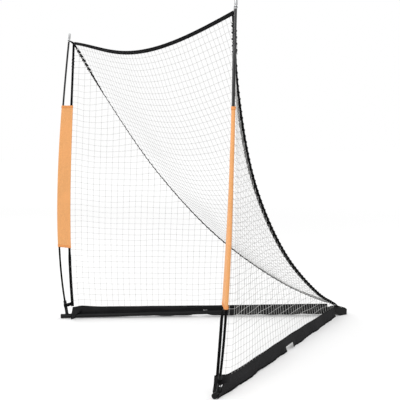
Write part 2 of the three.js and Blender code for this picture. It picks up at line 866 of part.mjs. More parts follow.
const notchMiddle = legRun * skirtNotchShare;
const frontStops = [
  capFlange + skirtCapGap - frontOverhang,
  skirtFrontStart,
  skirtTurnStart,
  skirtLiftStart,
  skirtLiftEnd,
  skirtWrapStart,
];
const frontMarks = frontStops.slice(1).flatMap((stop, i) => (
  [frontStops[i], (frontStops[i] + stop) / 2]));
const sideMarks = Array.from({ length: skirtSteps }, (_, i) => (
  THREE.MathUtils.lerp(skirtWrapStart, skirtEnd, i / (skirtSteps - 1))));
const skirtPlaces = [
  ...frontMarks,
  ...sideMarks.filter((place) => Math.abs(place - notchMiddle) > skirtNotchLength),
  notchMiddle - skirtNotchLength / 2,
  notchMiddle + skirtNotchLength / 2,
].sort((a, b) => a - b);

function sideSkirt() {
  return clothSheet(
    skirtPlaces.length - 1,
    skirtRows,
    (i, j) => skirtPoint(j, skirtPlaces[i]),
    legOutward,
    (i, j) => {
      const middle = (skirtPlaces[i] + skirtPlaces[i + 1]) / 2;
      if (j < skirtSlitRow) return middle > skirtFrontStart;
      if (j === skirtSlitRow) return middle > skirtLiftEnd;
      return Math.abs(middle - notchMiddle) > skirtNotchLength / 2;
    },
  );
}

addPair('base_skirt', sideSkirt(), blackCloth);

// Side nets, from the front edge webbing back to the rear corner
const diagonalRun = diagonalCurve.getPoints(diagonalSamples);
const sideEdge = edgeWebbingWidth / 2 + sleeveEdgeRadius;
const sideLength = alongLeg(diagonalRun.at(-1)) - alongLeg(corner);

function sideNetTop(share) {
  return placeWhere(diagonalRun, alongLeg, alongLeg(corner) + share * sideLength);
}

function sideNetBottom(share) {
  const distance = alongLeg(fromFoot(edgeBottom)) * (1 - share) + alongLeg(diagonalRun.at(-1)) * share;
  const seam = skirtTopUp(distance) + netSeam;
  return onLeg(distance, skirtTopOut(distance), seam);
}

function sideNetHeight(distance) {
  const share = distance / sideLength;
  return sideNetTop(share).z - sideNetBottom(share).z;
}

function sideNetPlace(distance, height) {
  const share = distance / sideLength;
  const rise = height / sideNetHeight(distance);
  const bottom = sideNetBottom(share);
  const top = sideNetTop(share);
  const straight = bottom.clone().lerp(top, rise);
  const frontStraight = sideNetBottom(0).lerp(sideNetTop(0), rise);
  const front = placeWhere(edgeRun, (point) => point.z, frontStraight.z);
  const pull = (1 - share) ** 3;
  return straight.addScaledVector(front.sub(frontStraight).setZ(0), pull);
}

function sideNet() {
  const limit = (distance) => sideNetHeight(distance) - netSideInset;
  const first = sideEdge + netSeam;
  const last = crossing(limit, netTailWidth, first, sideLength);
  const isRim = (a, b) => (a.x === b.x ? [first, last].includes(a.x) : a.y !== b.y || a.y === 0);
  return meshOf(netFaces(netCells(first, last, limit), isRim, sideNetPlace, legOutward));
}

addPair('side_net', sideNet(), whiteCord);

// Back net, from the top webbing down to the rear corner
function slopeLength(points) {
  const lengths = [0];
  points.slice(1).forEach((point, i) => {
    lengths.push(lengths[i] + Math.hypot(point.y - points[i].y, point.z - points[i].z));
  });
  return lengths;
}

const slopeRun = slopeLength(diagonalRun);
const backLength = slopeRun.at(-1);

function backNetEdge(distance) {
  const next = Math.max(1, slopeRun.findIndex((length) => length >= distance));
  const share = (distance - slopeRun[next - 1]) / (slopeRun[next] - slopeRun[next - 1]);
  return diagonalRun[next - 1].clone().lerp(diagonalRun[next], share);
}

function backNetPlace(distance, across) {
  const edge = backNetEdge(distance);
  const share = across / edge.x;
  const fade = 1 - distance / backLength;
  return vec(across, edge.y + strapBow(share) * fade, edge.z - strapDrop(share) * fade);
}

function backNet() {
  const limit = (distance) => backNetEdge(distance).x - diagonalWebbingWidth / 2 - 2 * netSeam;
  const first = topWebbingWidth / 2 + 2 * netSeam;
  const last = crossing(limit, netTailWidth / 2, first, backLength);
  const isRim = (a, b) => (a.x === b.x ? [first, last].includes(a.x) : a.y !== b.y);
  const half = netFaces(netCells(first, last, limit), isRim, backNetPlace,
    vec(0, frameDepth, corner.z).normalize());
  const otherHalf = half.map(({ x, y, z }) => vec(-x, y, z)).reverse();
  return meshOf([...half, ...otherHalf]);
}

addPiece('back_net', backNet(), whiteCord);

// Sleeves that wrap each pole together with the net's front edge
function sleeveRing(height, growth) {
  const pole = placeWhere(poleRun, (point) => point.z, height);
  const edge = placeWhere(edgeRun, (point) => point.z, height);
  const lay = edgeLay(height);
  const side = up.clone().cross(lay);
  const wide = ferruleDiameter / 2 + sleevePoleGap + growth;
  const narrow = webbingThickness / 2 + sleevePoleGap + growth;
  const edgeEnd = along(edge, lay, -edgeWebbingWidth / 2);
  const arc = (centre, radius, start) => Array.from({ length: cordSides + 1 }, (_, i) => {
    const angle = start + (Math.PI * i) / cordSides;
    return along(along(centre, lay, radius * Math.cos(angle)), side, radius * Math.sin(angle));
  });
  return [...arc(pole, wide, -Math.PI / 2), ...arc(edgeEnd, narrow, Math.PI / 2)];
}

function sleeve() {
  const levels = (overrun) => Array.from({ length: sleeveSteps + 1 }, (_, i) => (
    THREE.MathUtils.lerp(sleeveBottom - overrun, sleeveTop + overrun, i / sleeveSteps)));
  const outer = loft(levels(0).map((height) => sleeveRing(height, sleeveThickness)));
  const inner = loft(levels(cutOverrun).map((height) => sleeveRing(height, 0)));
  return cut(outer, inner);
}

addPair('pole_sleeve', sleeve(), orangeCloth);

// Loops that go round a post and come together at a point beside it
function loopPath(centre, axis, radius, anchor) {
  const away = anchor.clone().sub(centre).projectOnPlane(axis);
  const opening = Math.acos(radius / away.length());
  const towards = away.normalize();
  const aside = axis.clone().cross(towards);
  const turn = 2 * Math.PI - 2 * opening;
  const around = Array.from({ length: loopSteps + 1 }, (_, i) => {
    const angle = opening + (turn * i) / loopSteps;
    return along(along(centre, towards, radius * Math.cos(angle)), aside, radius * Math.sin(angle));
  });
  return [anchor, ...around];
}

const cordRadius = cordDiameter / 2;
const neckRadius = tipNeckDiameter / 2;
const neckMiddle = along(poleBend.getPoint(1), tipAxis, tipNeckLength / 2);
const cornerPull = along(corner, square(vec(1, 0, 0), tipAxis), cordDiameter + netSeam);
addPair('corner_loop', roundBar(
  loopPath(neckMiddle, tipAxis, neckRadius + fitGap + cordRadius, cornerPull),
  tipAxis, cordRadius, cordSides, true), blackWebbing);

const strapMiddle = along(poleFoot, poleAxis, strapHeight);
const anchorHeight = edgeBottom.up + strapRise;
const strapAnchor = along(placeWhere(edgeRun, (point) => point.z, anchorHeight),
  edgeLay(anchorHeight), edgeWebbingWidth / 2 + netSeam);
addPair('socket_strap', band(
  loopPath(strapMiddle, poleAxis, socketRadius + fitGap + strapThickness / 2, strapAnchor),
  poleAxis, strapWidth, strapThickness, true), blackWebbing);

// Pocket of webbing hooked over the rear corner block's nose
function rearPocket() {
  const lift = pocketThickness / 2 + fitGap;
  return band([
    vec(0, frameDepth, hubTop + lift),
    vec(0, frameDepth + hubTopLength, hubTop + lift),
    vec(0, frameDepth + hubRearReach + lift, hubNoseHeight + lift),
    vec(0, frameDepth + hubRearReach + lift, hubNoseHeight - pocketDrop),
  ], vec(1, 0, 0), pocketWidth, pocketThickness);
}

addPiece('rear_pocket', rearPocket(), blackWebbing);

// The origin stands on the ground under the middle of the whole goal
const extent = new THREE.Box3().setFromObject(goal, true);
const part = new THREE.Group();
goal.position.y = -(extent.min.y + extent.max.y) / 2;
part.add(goal);

export default part;
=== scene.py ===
import itertools
import math

import bpy
import numpy as np
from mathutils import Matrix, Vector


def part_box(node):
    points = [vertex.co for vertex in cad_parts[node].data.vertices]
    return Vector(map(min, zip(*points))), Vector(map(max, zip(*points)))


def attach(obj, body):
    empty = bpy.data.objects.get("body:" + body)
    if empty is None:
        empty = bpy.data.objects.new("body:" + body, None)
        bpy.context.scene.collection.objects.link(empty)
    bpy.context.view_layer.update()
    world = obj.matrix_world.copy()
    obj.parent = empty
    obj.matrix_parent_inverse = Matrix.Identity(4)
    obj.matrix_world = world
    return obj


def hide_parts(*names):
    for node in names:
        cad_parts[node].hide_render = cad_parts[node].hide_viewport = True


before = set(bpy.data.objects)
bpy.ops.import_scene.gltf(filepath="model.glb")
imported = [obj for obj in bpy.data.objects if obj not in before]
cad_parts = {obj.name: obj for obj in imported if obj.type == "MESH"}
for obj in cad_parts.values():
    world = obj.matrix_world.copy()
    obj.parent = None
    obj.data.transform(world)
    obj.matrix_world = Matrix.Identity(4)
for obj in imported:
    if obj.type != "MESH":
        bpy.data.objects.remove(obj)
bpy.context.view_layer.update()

# A knock-down lacrosse goal. Lengths are millimetres in the mouth's own frame: X across the
# mouth, Y back into the goal, Z up. They become metres of the row frame as a mesh is made.
MM = 0.001
BODY = "frame"
SIDES = ("right", "left")

# Camera, in metres and degrees
CAMERA_PLACE = (4.0654, -2.9312, 1.3497)
CAMERA_TILT = 84.164
CAMERA_TURN = 57.395
CAMERA_LENS = 72.41
CAMERA_REACH = 60

# Floor, world and lamps (name, place, size, power), in metres
FLOOR_SIZE = 40
FLOOR_COLOR = 0.82
FLOOR_ROUGHNESS = 0.9
FLOOR_GLOW = (0.15, 0.37)
GLOW_RANGE = (2, 11)
WORLD_LIGHT = 0.8
LAMP_TARGET = (0, 0, 0.8)
LAMPS = (
    ("key", (2.6, -4.2, 4.4), 3.2, 125),
    ("fill", (-4.6, -2.4, 3.0), 3.0, 60),
    ("back", (0.5, 4.8, 4.2), 3.4, 60),
)

# Base frame and rear corner, as the solids have them
MOUTH_WIDTH = 1829
FRAME_DEPTH = 1573
TUBE_RADIUS = 14
CAP_RADIUS = 15
CAP_FLANGE = 7
FRONT_OVERHANG = 44
REAR_RISE = 32
HUB_RADIUS = 15.5
HUB_TOP_LENGTH = 25
HUB_REACH = 92
HUB_NOSE = 40
BLOCK_BEVEL = 1.6
SMOOTH_ANGLE = 35

# Poles, sockets and tips
LEAN_OUT = 15
LEAN_FORWARD = 3
SOCKET_RADIUS = 10.4
SOCKET_LENGTH = 105
POLE_RADIUS = 6.35
POLE_SIDES = 32
POLE_START = 84
POLE_RISE = 480
POLE_SHOULDER = (100, 10, 1250)
POLE_TOP = (45, 63, 1851)
TIP_BORE = 30
TIP_GAP = 0.2
BORE_GAP = 0.5
FERRULE_RADIUS = 8
FERRULE_SHARE = 0.44
MEET_GAP = 1
WELD_RADIUS = 2.1
WELD_SINK = 0.3
WELD_GAP = 0.4
WELD_RIPPLE = 0.16
WELD_RIPPLES = 21
WELD_SIDES = 120
HALVINGS = 40
TIP_SIDES = 48
TIP_PROFILE = (
    (6.8, 0.4), (7.2, 0), (7.6, 0.5), (7.6, 2.2), (7.35, 2.6), (7.6, 3), (7.6, 14), (7.35, 14.4),
    (7.6, 14.8), (7.6, 17), (8.45, 20), (8.7, 21), (8.7, 46), (8.5, 48.6), (7.8, 51),
    (6.4, 53), (4, 53.8), (0, 54),
)

# Webbing and nets
CORNER = (4, 79, 1839)
TOP_WIDTH = 22
EDGE_WIDTH = 20
DIAGONAL_WIDTH = 25
WEBBING = 2
TOP_SAG = 118
TOP_FLAT_SHARE = 0.46
TOP_BACK_BOW = 55
TOP_LEAN = 0.9
LOW_EDGE_TURN = -55
HIGH_EDGE_TURN = 5
EDGE_BOTTOM = (-40, 22, 88)
EDGE_LOW_BEND = (48, 17, 680)
EDGE_HIGH_BEND = (31, 60, 1254)
DIAGONAL = ((735, 234, 1462), (530, 493, 989), (343, 852, 552), (169, 1265, 229))
DIAGONAL_END = (19, 1590, 66.4)
DIAGONAL_START = 16
DIAGONAL_TURN = -28
DIAGONAL_LOW_TURN = -8
DIAGONAL_TURN_DROP = (180, 420)
DIAGONAL_LOW_LEFT = (160, 320)
DIAGONAL_FADE = (30, 90)
EDGE_FADE = 80
EDGE_TUCK = (0, 2.4, -4)
SEAM = 2
TOP_POINTS = 161
RUN_POINTS = 400
SPAN_POINTS = 80
RUN_STEP = 12
MESH = 38
STRAND_RADIUS = 0.85
KNOT_SHARE = 1.45
KNOT_REACH = 4
SIDE_SWAY_SHARE = 1.3
SIDE_HOLD = (10, 60)
BACK_HOLD = (10, 70)
NET_WAVES = 9
NET_SPANS = (240, 700)
NET_SAG = 17
NET_SAG_RISE = (250, 1200)
NET_SIDES = 5
NET_END_GAP = 30
NET_TIP_GAP = 60
NET_TOP_GAP = 1.5
NET_LAP = 2
NET_SAMPLES = 800
# Seed and strength of each net's sway and drag
SIDE_WAVES = ((11, 2.6), (12, 3.5))
BACK_WAVES = ((21, 2.6), (22, 3.0))

# How far apart a cord's yarns lie round it, in metres
LAY_ROUND = 0.0036

# Stitches; a stitch's shape gives shares of its length and of its radius above the band
STITCH_PITCH = 4.5
STITCH_LENGTH = 3
STITCH_RADIUS = 0.32
STITCH_INSET = 3
STITCH_SHAPE = ((0, -1), (0.25, 1), (0.75, 1), (1, -1))

# Lashings: pitch, cord radius, start and end along the webbing; the corner's from its top end
WHITE_LASHING = (34, 2.8, 40, 236)
BLACK_LASHING = (34, 3.2, 57, 219)
CORNER_LASHING = (21, 1.2, 160, 80)
LACING_START = 240
LACING_END = 150
LACING_RADIUS = 1.5
LACING_STEPS = 14
LACING_SQUARE = 0.6
LACING_SIDE_GAP = 0.4
LACING_FACE_GAP = 0.2

# Loops, pocket, sleeves
NECK_HEIGHT = 8.5
NECK_LOOP_RADIUS = 8.5
CORNER_PULL = 6
CORNER_BAND_WIDTH = 5
CORNER_BAND_SCALE = (0.6, 3.3)
CORNER_BAND_REACH = 34
LOOP_STEPS = 40
LOOP_POINTS = 90
STRAP_WIDTH = 22
STRAP_HEIGHT = 72
STRAP_RISE = 14
STRAP_THICKNESS = 1.6
STRAP_GAP = 1.1
POCKET_WIDTH = 40
POCKET_DROP = 28
POCKET_LIFT = 1.3
SLEEVE_BOTTOM = 455
SLEEVE_TOP = 1420
SLEEVE_SPANS = {"right": (452, 1402), "left": (478, 1431)}
SLEEVE_HEM = 16
SLEEVE_HEM_GROWTH = 0.8
SLEEVE_THICKNESS = 0.7
SLEEVE_POLE_GAP = 1.6
SLEEVE_EDGE_GAP = 1.8
SLEEVE_DRAPE = 1.12
SLEEVE_SINK = 1.4
SLEEVE_STEP = 6
SLEEVE_HEM_STEP = 4
SLEEVE_HEM_GAP = 0.5

# Skirts
SKIRT_THICKNESS = 0.8
SKIRT_TOP = 76
SKIRT_FRONT_TOP = 85
SKIRT_FRONT_IN = 40
SKIRT_START = 42
SKIRT_SLANT = 14
SKIRT_SLIT_START = 16
SKIRT_FALL_END = 250
SKIRT_TOE_TUCK = 3
SKIRT_TURN_START = 43
SKIRT_LIFT_START = 50
SKIRT_LIFT_END = 64
SKIRT_WRAP = 104
SKIRT_TUBE_GAP = 2
SKIRT_CAP_GAP = 4
SKIRT_SLIT_RISE = 9
SLIT_LIFTS = {"right": 20, "left": 0}
SLIT_PULL = (3, 11)
SLIT_LEAN = -0.3
SKIRT_SIDE_GAP = 1.1
SKIRT_TOP_GAP = 3.2
WELT_RADIUS = 2.0
SLIT_WELT_RADIUS = 1.3
HEM_BAND = (9, 2.2)
HEM_LIFT = 2.1
HEM_WAVES = ((1.9, 61.0, 0), (1.4, 23.0, 1))
SKIRT_SHOULDER = 16
SKIRT_FLARE = 6
SKIRT_HEM = 3
SKIRT_LEAN = 5
SKIRT_REAR_LEAN = 22
SKIRT_REAR_GAP = 44
NOTCH_SHARE = 0.505
NOTCH_LENGTH = 70
NOTCH_FRONT_CUT = 38
# The cloth before and after the gap: its length, how far it stands out and how far it slides
FRONT_FLAP = (60, 5, 9)
REAR_FLAP = (75, 16, -22)
REAR_FLAP_LIFT = 13
NOTCH_TOP_SHARE = 0.62
SKIRT_WAVE = 2.5
SKIRT_WAVES = 7
SKIRT_WIDTH = 150
SKIRT_STEP = 5
FOLD_ROW, SHOULDER_ROW, HEM_ROW = 2, 3, 5
PROFILE_STEPS = 9
CLOTH_TENSION = 0.38

# Seeded folds: seed, count, range of spans, lean, depth
CREASE_POWER = 0.7
SKIRT_FOLDS = (31, 7, (55, 210), 0.9, 16.0)
SKIRT_PUCKERS = (32, 6, (26, 80), 0.5, 7.0)
SLEEVE_FOLDS = (41, 6, (70, 240), 1.6, 5.0)


def vec(*values):
    return np.array(values, float)


def unit(v):
    v = np.asarray(v, float)
    return v / np.linalg.norm(v, axis=-1, keepdims=True)


def square(direction, axis):
    """The part of a direction that is square to an axis, as unit vectors."""
    direction, axis = np.broadcast_arrays(np.asarray(direction, float), axis)
    return unit(direction - axis * (direction * axis).sum(-1, keepdims=True))


def smooth(value, start, end):
    t = np.clip((np.asarray(value, float) - start) / (end - start), 0, 1)
    return t * t * (3 - 2 * t)


def mix(a, b, share):
    return a + (b - a) * share


def new_object(name, data):
    thing = bpy.data.objects.new(name, data)
    bpy.context.scene.collection.objects.link(thing)
    return thing


camera = new_object("camera", bpy.data.cameras.new("camera"))
camera.data.lens = CAMERA_LENS
camera.data.clip_end = CAMERA_REACH
camera.location = CAMERA_PLACE
camera.rotation_euler = (math.radians(CAMERA_TILT), 0, math.radians(CAMERA_TURN))
bpy.context.scene.camera = camera

# How far the row frame's origin lies behind the mouth, from the rear corner's far face
ORIGIN_BEHIND = FRAME_DEPTH + HUB_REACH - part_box("rear_corner_block")[1][1] / MM

# Directions and places of the right-hand side
UP = vec(0, 0, 1)
ACROSS = vec(1, 0, 0)
FOOT = vec(MOUTH_WIDTH / 2, 0, CAP_RADIUS)
HEADING = unit(vec(-MOUTH_WIDTH / 2, FRAME_DEPTH, 0))
OUTWARD = vec(HEADING[1], -HEADING[0], 0)
POLE_AXIS = unit(vec(math.tan(math.radians(LEAN_OUT)), -math.tan(math.radians(LEAN_FORWARD)), 1))
LEG_RUN = math.hypot(MOUTH_WIDTH / 2, FRAME_DEPTH)
NOTCH = LEG_RUN * NOTCH_SHARE
BACK_OUT = vec(0, FRAME_DEPTH, CORNER[2])
LACING_HINT = UP + 0.31 * ACROSS


def from_foot(place):
    return vec(MOUTH_WIDTH / 2, 0, 0) + place


def bezier(a, b, c, d):
    t = np.linspace(0, 1, RUN_POINTS)[:, None]
    return a * (1 - t) ** 3 + 3 * b * t * (1 - t) ** 2 + 3 * c * t * t * (1 - t) + d * t**3


def hermite(b, c, leave, reach, t):
    """The cubic from b to c that leaves and reaches them at these rates."""
    bend = 3 * (c - b) - 2 * leave - reach
    return b + leave * t + bend * t**2 + (2 * (b - c) + leave + reach) * t**3


def spline(points, per_span):
    """A centripetal spline through points."""
    p = np.asarray(points, float)
    p = np.vstack([2 * p[0] - p[1], p, 2 * p[-1] - p[-2]])
    t = np.linspace(0, 1, per_span, endpoint=False)[:, None]
    spans = []
    for a, b, c, d in zip(p, p[1:], p[2:], p[3:]):
        before, here, after = (np.linalg.norm(y - x) ** 0.5 for x, y in ((a, b), (b, c), (c, d)))
        leave = ((b - a) / before - (c - a) / (before + here) + (c - b) / here) * here
        reach = ((c - b) / here - (d - b) / (here + after) + (d - c) / after) * here
        spans.append(hermite(b, c, leave, reach, t))
    return np.vstack([*spans, p[-2:-1]])


def lengths(points):
    steps = np.linalg.norm(np.diff(points, axis=0), axis=1)
    return np.concatenate([[0], np.cumsum(steps)])


def at_measure(points, measure, values):
    """Points of a run where a measure that rises or falls along it has these values."""
    order = np.argsort(measure)
    return np.stack([np.interp(values, measure[order], points[order, k]) for k in range(3)], -1)


def at_length(points, places):
    return at_measure(points, lengths(points), places)


def at_height(points, heights):
    return at_measure(points, points[:, 2], heights)


def resample(points, step, start=0, end=None):
    total = lengths(points)[-1] if end is None else end
    count = max(2, int(round((total - start) / step)) + 1)
    return at_length(points, np.linspace(start, total, count))


def quad_uvs(corners):
    quads = np.stack([np.stack(pair, 1) for pair in corners], 1)
    return [list(map(tuple, quad)) for quad in quads]


def skin(rings, us, vs, closed_along=False, ends=True):
    """Vertices, faces and UV pairs over rings of points; us run round a ring, vs along the rings."""
    count, sides = rings.shape[:2]
    i, j = np.indices((count if closed_along else count - 1, sides)).reshape(2, -1)
    corners = [(i, j), (i, j + 1), (i + 1, j + 1), (i + 1, j)]
    faces = np.stack([a % count * sides + b % sides for a, b in corners], 1).tolist()
    uvs = quad_uvs([(us[b], vs[a]) for a, b in corners])
    if ends and not closed_along:
        faces += [list(range(sides))[::-1], list(range((count - 1) * sides, count * sides))]
        uvs += [[(0.0, 0.0)] * sides] * 2
    return rings.reshape(-1, 3), faces, uvs


def headings(points, closed=False):
    padded = np.pad(points, ((1, 1), (0, 0)), "wrap" if closed else "edge")
    return unit(padded[2:] - padded[:-2])


def sweep(points, section, side, closed=False, scale=1.0):
    """A section of (towards the side, square to it) points carried along a run."""
    along = headings(points, closed)
    across = square(side, along)
    depth = np.cross(along, across)
    section = np.asarray(section, float)
    scale = np.broadcast_to(np.asarray(scale, float), (len(points),))[:, None, None]
    rings = (points[:, None] + across[:, None] * section[None, :, :1] * scale
             + depth[:, None] * section[None, :, 1:] * scale)
    run = lengths(np.vstack([points, points[:1]]) if closed else points)
    return skin(rings, lengths(np.vstack([section, section[:1]])), run, closed)


def angles(sides):
    return np.arange(sides) * 2 * math.pi / sides


def circle(radius, sides):
    turn = angles(sides)
    return radius * np.stack([np.cos(turn), np.sin(turn)], 1)


def strap_section(width, thickness):
    """A flat band's section with round edges, its seam on one edge."""
    half, radius = width / 2 - thickness / 2, thickness / 2
    turn = np.linspace(-math.pi / 2, math.pi / 2, 5)
    right = np.stack([half + radius * np.cos(turn), radius * np.sin(turn)], 1)
    flat = np.linspace(half, -half, 7)[1:-1]
    top = np.stack([flat, np.full_like(flat, radius)], 1)
    return np.vstack([right, top, -right, -top])


def round_bar(points, radius, side, sides=10, closed=False, scale=1.0):
    return sweep(points, circle(radius, sides), side, closed, scale)


def turn_about(axis, direction, turn):
    """A direction square to an axis, turned about it by each angle."""
    return np.cos(turn)[:, None] * direction + np.sin(turn)[:, None] * np.cross(axis, direction)


def spokes(axis, turn):
    return turn_about(axis, square(ACROSS, axis), turn)


def merged(*shapes):
    vertices, faces, uvs, first = [], [], [], 0
    for shape in shapes:
        vertices.append(shape[0])
        faces.extend([[k + first for k in face] for face in shape[1]])
        uvs.extend(shape[2])
        first += len(shape[0])
    return np.vstack(vertices), faces, uvs


def add(name, shape, material, replaced=()):
    vertices, faces, uvs = shape
    mesh = bpy.data.meshes.new(name)
    mesh.from_pydata(((vertices - vec(0, ORIGIN_BEHIND, 0)) * MM).tolist(), [], faces)
    layer = mesh.uv_layers.new(name="cloth")
    flat = np.array([pair for face in uvs for pair in face], np.float32) * MM
    layer.uv.foreach_set("vector", flat.ravel())
    mesh.polygons.foreach_set("use_smooth", [True] * len(faces))
    mesh.materials.append(material)
    mesh.validate()
    piece = new_object(name, mesh)
    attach(piece, BODY)
    if replaced:
        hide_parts(*replaced)
    return piece


def add_side(side, name, shape, material, replaced=()):
    """A side's piece from its right-hand shape; a name in replaced goes without its side."""
    if side == "left":
        vertices, faces, uvs = shape
        shape = vertices * vec(-1, 1, 1), [face[::-1] for face in faces], [uv[::-1] for uv in uvs]
    return add(f"{side}_{name}", shape, material, [f"{side}_{node}" for node in replaced])


def add_pair(*piece):
    for side in SIDES:
        add_side(side, *piece)


class Look:
    """The nodes of a new material or world, under construction."""

    def __init__(self, block, shader, **sockets):
        block.use_nodes = True
        self.tree = block.node_tree
        self.shader = self.tree.nodes[shader]
        for socket, value in sockets.items():
            self.set(self.shader, socket, value)

    def set(self, node, socket, value):
        """Fill a socket, given by its place or by its name with _ for a space."""
        target = node.inputs[socket if isinstance(socket, int) else socket.replace("_", " ")]
        if isinstance(value, bpy.types.NodeSocket):
            self.tree.links.new(value, target)
        else:
            target.default_value = value

    def node(self, kind, settings=(), *values, **sockets):
        node = self.tree.nodes.new(kind)
        for key, value in dict(settings).items():
            setattr(node, key, value)
        for socket, value in [*enumerate(values), *sockets.items()]:
            self.set(node, socket, value)
        return node

    def place(self, scale=(1, 1, 1)):
        source = self.node("ShaderNodeTexCoord").outputs["Object"]
        return self.node("ShaderNodeMapping", Vector=source, Scale=scale).outputs["Vector"]

    def on_cloth(self):
        """The piece's own map in metres: round or across it, and along it."""
        source = self.node("ShaderNodeUVMap", {"uv_map": "cloth"}).outputs["UV"]
        return self.node("ShaderNodeSeparateXYZ", Vector=source).outputs

    def noise(self, place, scale, detail=3.0, roughness=0.55):
        return self.node("ShaderNodeTexNoise", Vector=place, Scale=scale, Detail=detail,
                         Roughness=roughness).outputs["Fac"]

    def math(self, operation, a, b=0.0):
        return self.node("ShaderNodeMath", {"operation": operation}, a, b).outputs[0]

    def ramp(self, value, low, high, from_low=0.0, from_high=1.0, kind="LINEAR"):
        values = value, from_low, from_high, low, high
        return self.node("ShaderNodeMapRange", {"interpolation_type": kind}, *values).outputs["Result"]

    def blend(self, share, first, second):
        node = self.node("ShaderNodeMix", {"data_type": "RGBA"}, share)
        for socket, value in ((6, first), (7, second)):
            self.set(node, socket, value if isinstance(value, bpy.types.NodeSocket) else (*value, 1))
        return node.outputs[2]

    def paint(self, color):
        self.set(self.shader, "Base Color", color)

    def shine(self, roughness):
        self.set(self.shader, "Roughness", roughness)

    def bump(self, height, distance, strength=1.0):
        last = self.shader.inputs["Normal"]
        node = self.node("ShaderNodeBump", Height=height, Distance=distance, Strength=strength)
        if last.is_linked:
            self.set(node, "Normal", last.links[0].from_socket)
        self.set(self.shader, "Normal", node.outputs["Normal"])

    def seen_directly(self):
        """1 for what the camera sees, straight or by reflection or through glass."""
        path = self.node("ShaderNodeLightPath").outputs
        reflected = self.math("MAXIMUM", path["Is Camera Ray"], path["Is Glossy Ray"])
        return self.math("MAXIMUM", reflected, path["Is Transmission Ray"])


class Surface(Look):
    """A piece's material, which also remembers its slot."""

    def __init__(self, name, slot, color, roughness, **sockets):
        self.material = bpy.data.materials.new(name)
        self.material["slot"] = slot
        super().__init__(self.material, "Principled BSDF", Base_Color=(*color, 1), Roughness=roughness,
                         **sockets)


def tinted(color, share):
    return tuple(min(1.0, c * share) for c in color)


def coated_metal(name, slot, color, roughness, grain, wear):
    """Powder coat or moulding: a fine orange-peel skin, dust and rubbed patches."""
    s = Surface(name, slot, color, roughness, Specular_IOR_Level=0.16)
    place = s.place()
    patches = s.noise(place, 9.0, 5.0, 0.65)
    s.bump(s.noise(place, grain, 2.0), 0.0002, 0.35)
    s.shine(s.ramp(patches, roughness - 0.08, roughness + 0.14, 0.3, 0.75))
    s.paint(s.blend(s.ramp(patches, 0, wear, 0.55, 0.85), color, tinted(color, 2.6)))
    return s.material


def metal(name, slot, color, roughness, stretch):
    """Bare metal with fine drawn lines."""
    s = Surface(name, slot, color, roughness, Metallic=1.0)
    lines = s.noise(s.place(stretch), 260.0, 2.0)
    clouds = s.noise(s.place(), 30.0, 3.0)
    s.shine(s.ramp(clouds, roughness - 0.06, roughness + 0.12, 0.3, 0.7))
    s.paint(s.blend(s.ramp(lines, 0, 0.35), color, tinted(color, 0.72)))
    s.bump(lines, 0.0001, 0.25)
    return s.material


def woven(name, slot, color, yarn, painted_yarn_light, roughness, bump, fade=1.25, sheen=0.0):
    """A plain weave on the cloth's own map, with the yarns' pitch in metres. Its colour carries painted
    shade in the hollows, painted light on the yarn tops and painted fold light and shade in cloud
    patches.
    """
    s = Surface(name, slot, color, roughness, Specular_IOR_Level=0.05, Sheen_Weight=sheen)
    cloth = s.on_cloth()
    turns = [s.math("MULTIPLY", cloth[k], math.pi / yarn[k]) for k in (0, 1)]
    waves = [s.math("ABSOLUTE", s.math("SINE", turn)) for turn in turns]
    over = s.math("SINE", s.math("ADD", *turns))
    height = s.math("ADD", s.math("MULTIPLY", waves[0], waves[1]), s.math("MULTIPLY", over, 0.25))
    clouds = s.noise(s.place(), 7.0, 5.0, 0.6)
    fluff = s.noise(s.place(), 900.0, 1.0)
    # Painted shade and light: by the weave's height, its hollows are tinted darker and its yarn tops
    # lighter
    painted_yarn_shade = s.blend(s.ramp(height, 0, 1, -0.2, 1.1), tinted(color, 0.55), tinted(color, painted_yarn_light))
    # Painted light and shade: cloud patches tinted by fade stand in for the light and shade of the
    # cloth's folds
    s.paint(s.blend(s.ramp(clouds, 0, 0.6, 0.4, 0.75), painted_yarn_shade, tinted(color, fade)))
    s.shine(s.ramp(clouds, roughness - 0.07, roughness + 0.05, 0.3, 0.7))
    s.bump(height, bump, 0.6)
    s.bump(fluff, bump * 0.4, 0.25)
    return s.material


def twisted(name, slot, color, pitch, roughness):
    """Cord with its lay of twisted yarns on the piece's own map, and painted shade in the grooves between
    the yarns.
    """
    s = Surface(name, slot, color, roughness, Specular_IOR_Level=0.2)
    cloth = s.on_cloth()
    lay = s.math("ADD", s.math("MULTIPLY", cloth[0], 2 * math.pi / LAY_ROUND),
                 s.math("MULTIPLY", cloth[1], 2 * math.pi / pitch))
    height = s.math("ABSOLUTE", s.math("SINE", lay))
    soil = s.noise(s.place(), 11.0, 4.0, 0.6)
    # Painted shade: the grooves of the lay are tinted darker than the yarn tops
    painted_yarn_shade = s.blend(s.ramp(height, 0, 1), tinted(color, 0.8), color)
    s.paint(s.blend(s.ramp(soil, 0, 0.3, 0.5, 0.8), painted_yarn_shade, tinted(color, 0.86)))
    s.bump(height, 0.0003, 0.5)
    return s.material


def long_fibre(name, slot, color, gloss):
    """Glass-fibre rod: a skin over faint lines along the rod."""
    s = Surface(name, slot, color, 0.34, Specular_IOR_Level=gloss / 2, Coat_Weight=2 * gloss,
                Coat_Roughness=0.1)
    fibres = s.noise(s.place((9, 9, 0.25)), 160.0, 2.0)
    scuffs = s.noise(s.place((1, 1, 0.35)), 34.0, 5.0, 0.7)
    s.paint(s.blend(s.ramp(fibres, 0, 0.8, 0.35, 0.7), color, tinted(color, 1.9)))
    s.shine(s.ramp(scuffs, 0.24, 0.44, 0.35, 0.75))
    s.bump(fibres, 0.0001, 0.3)
    return s.material


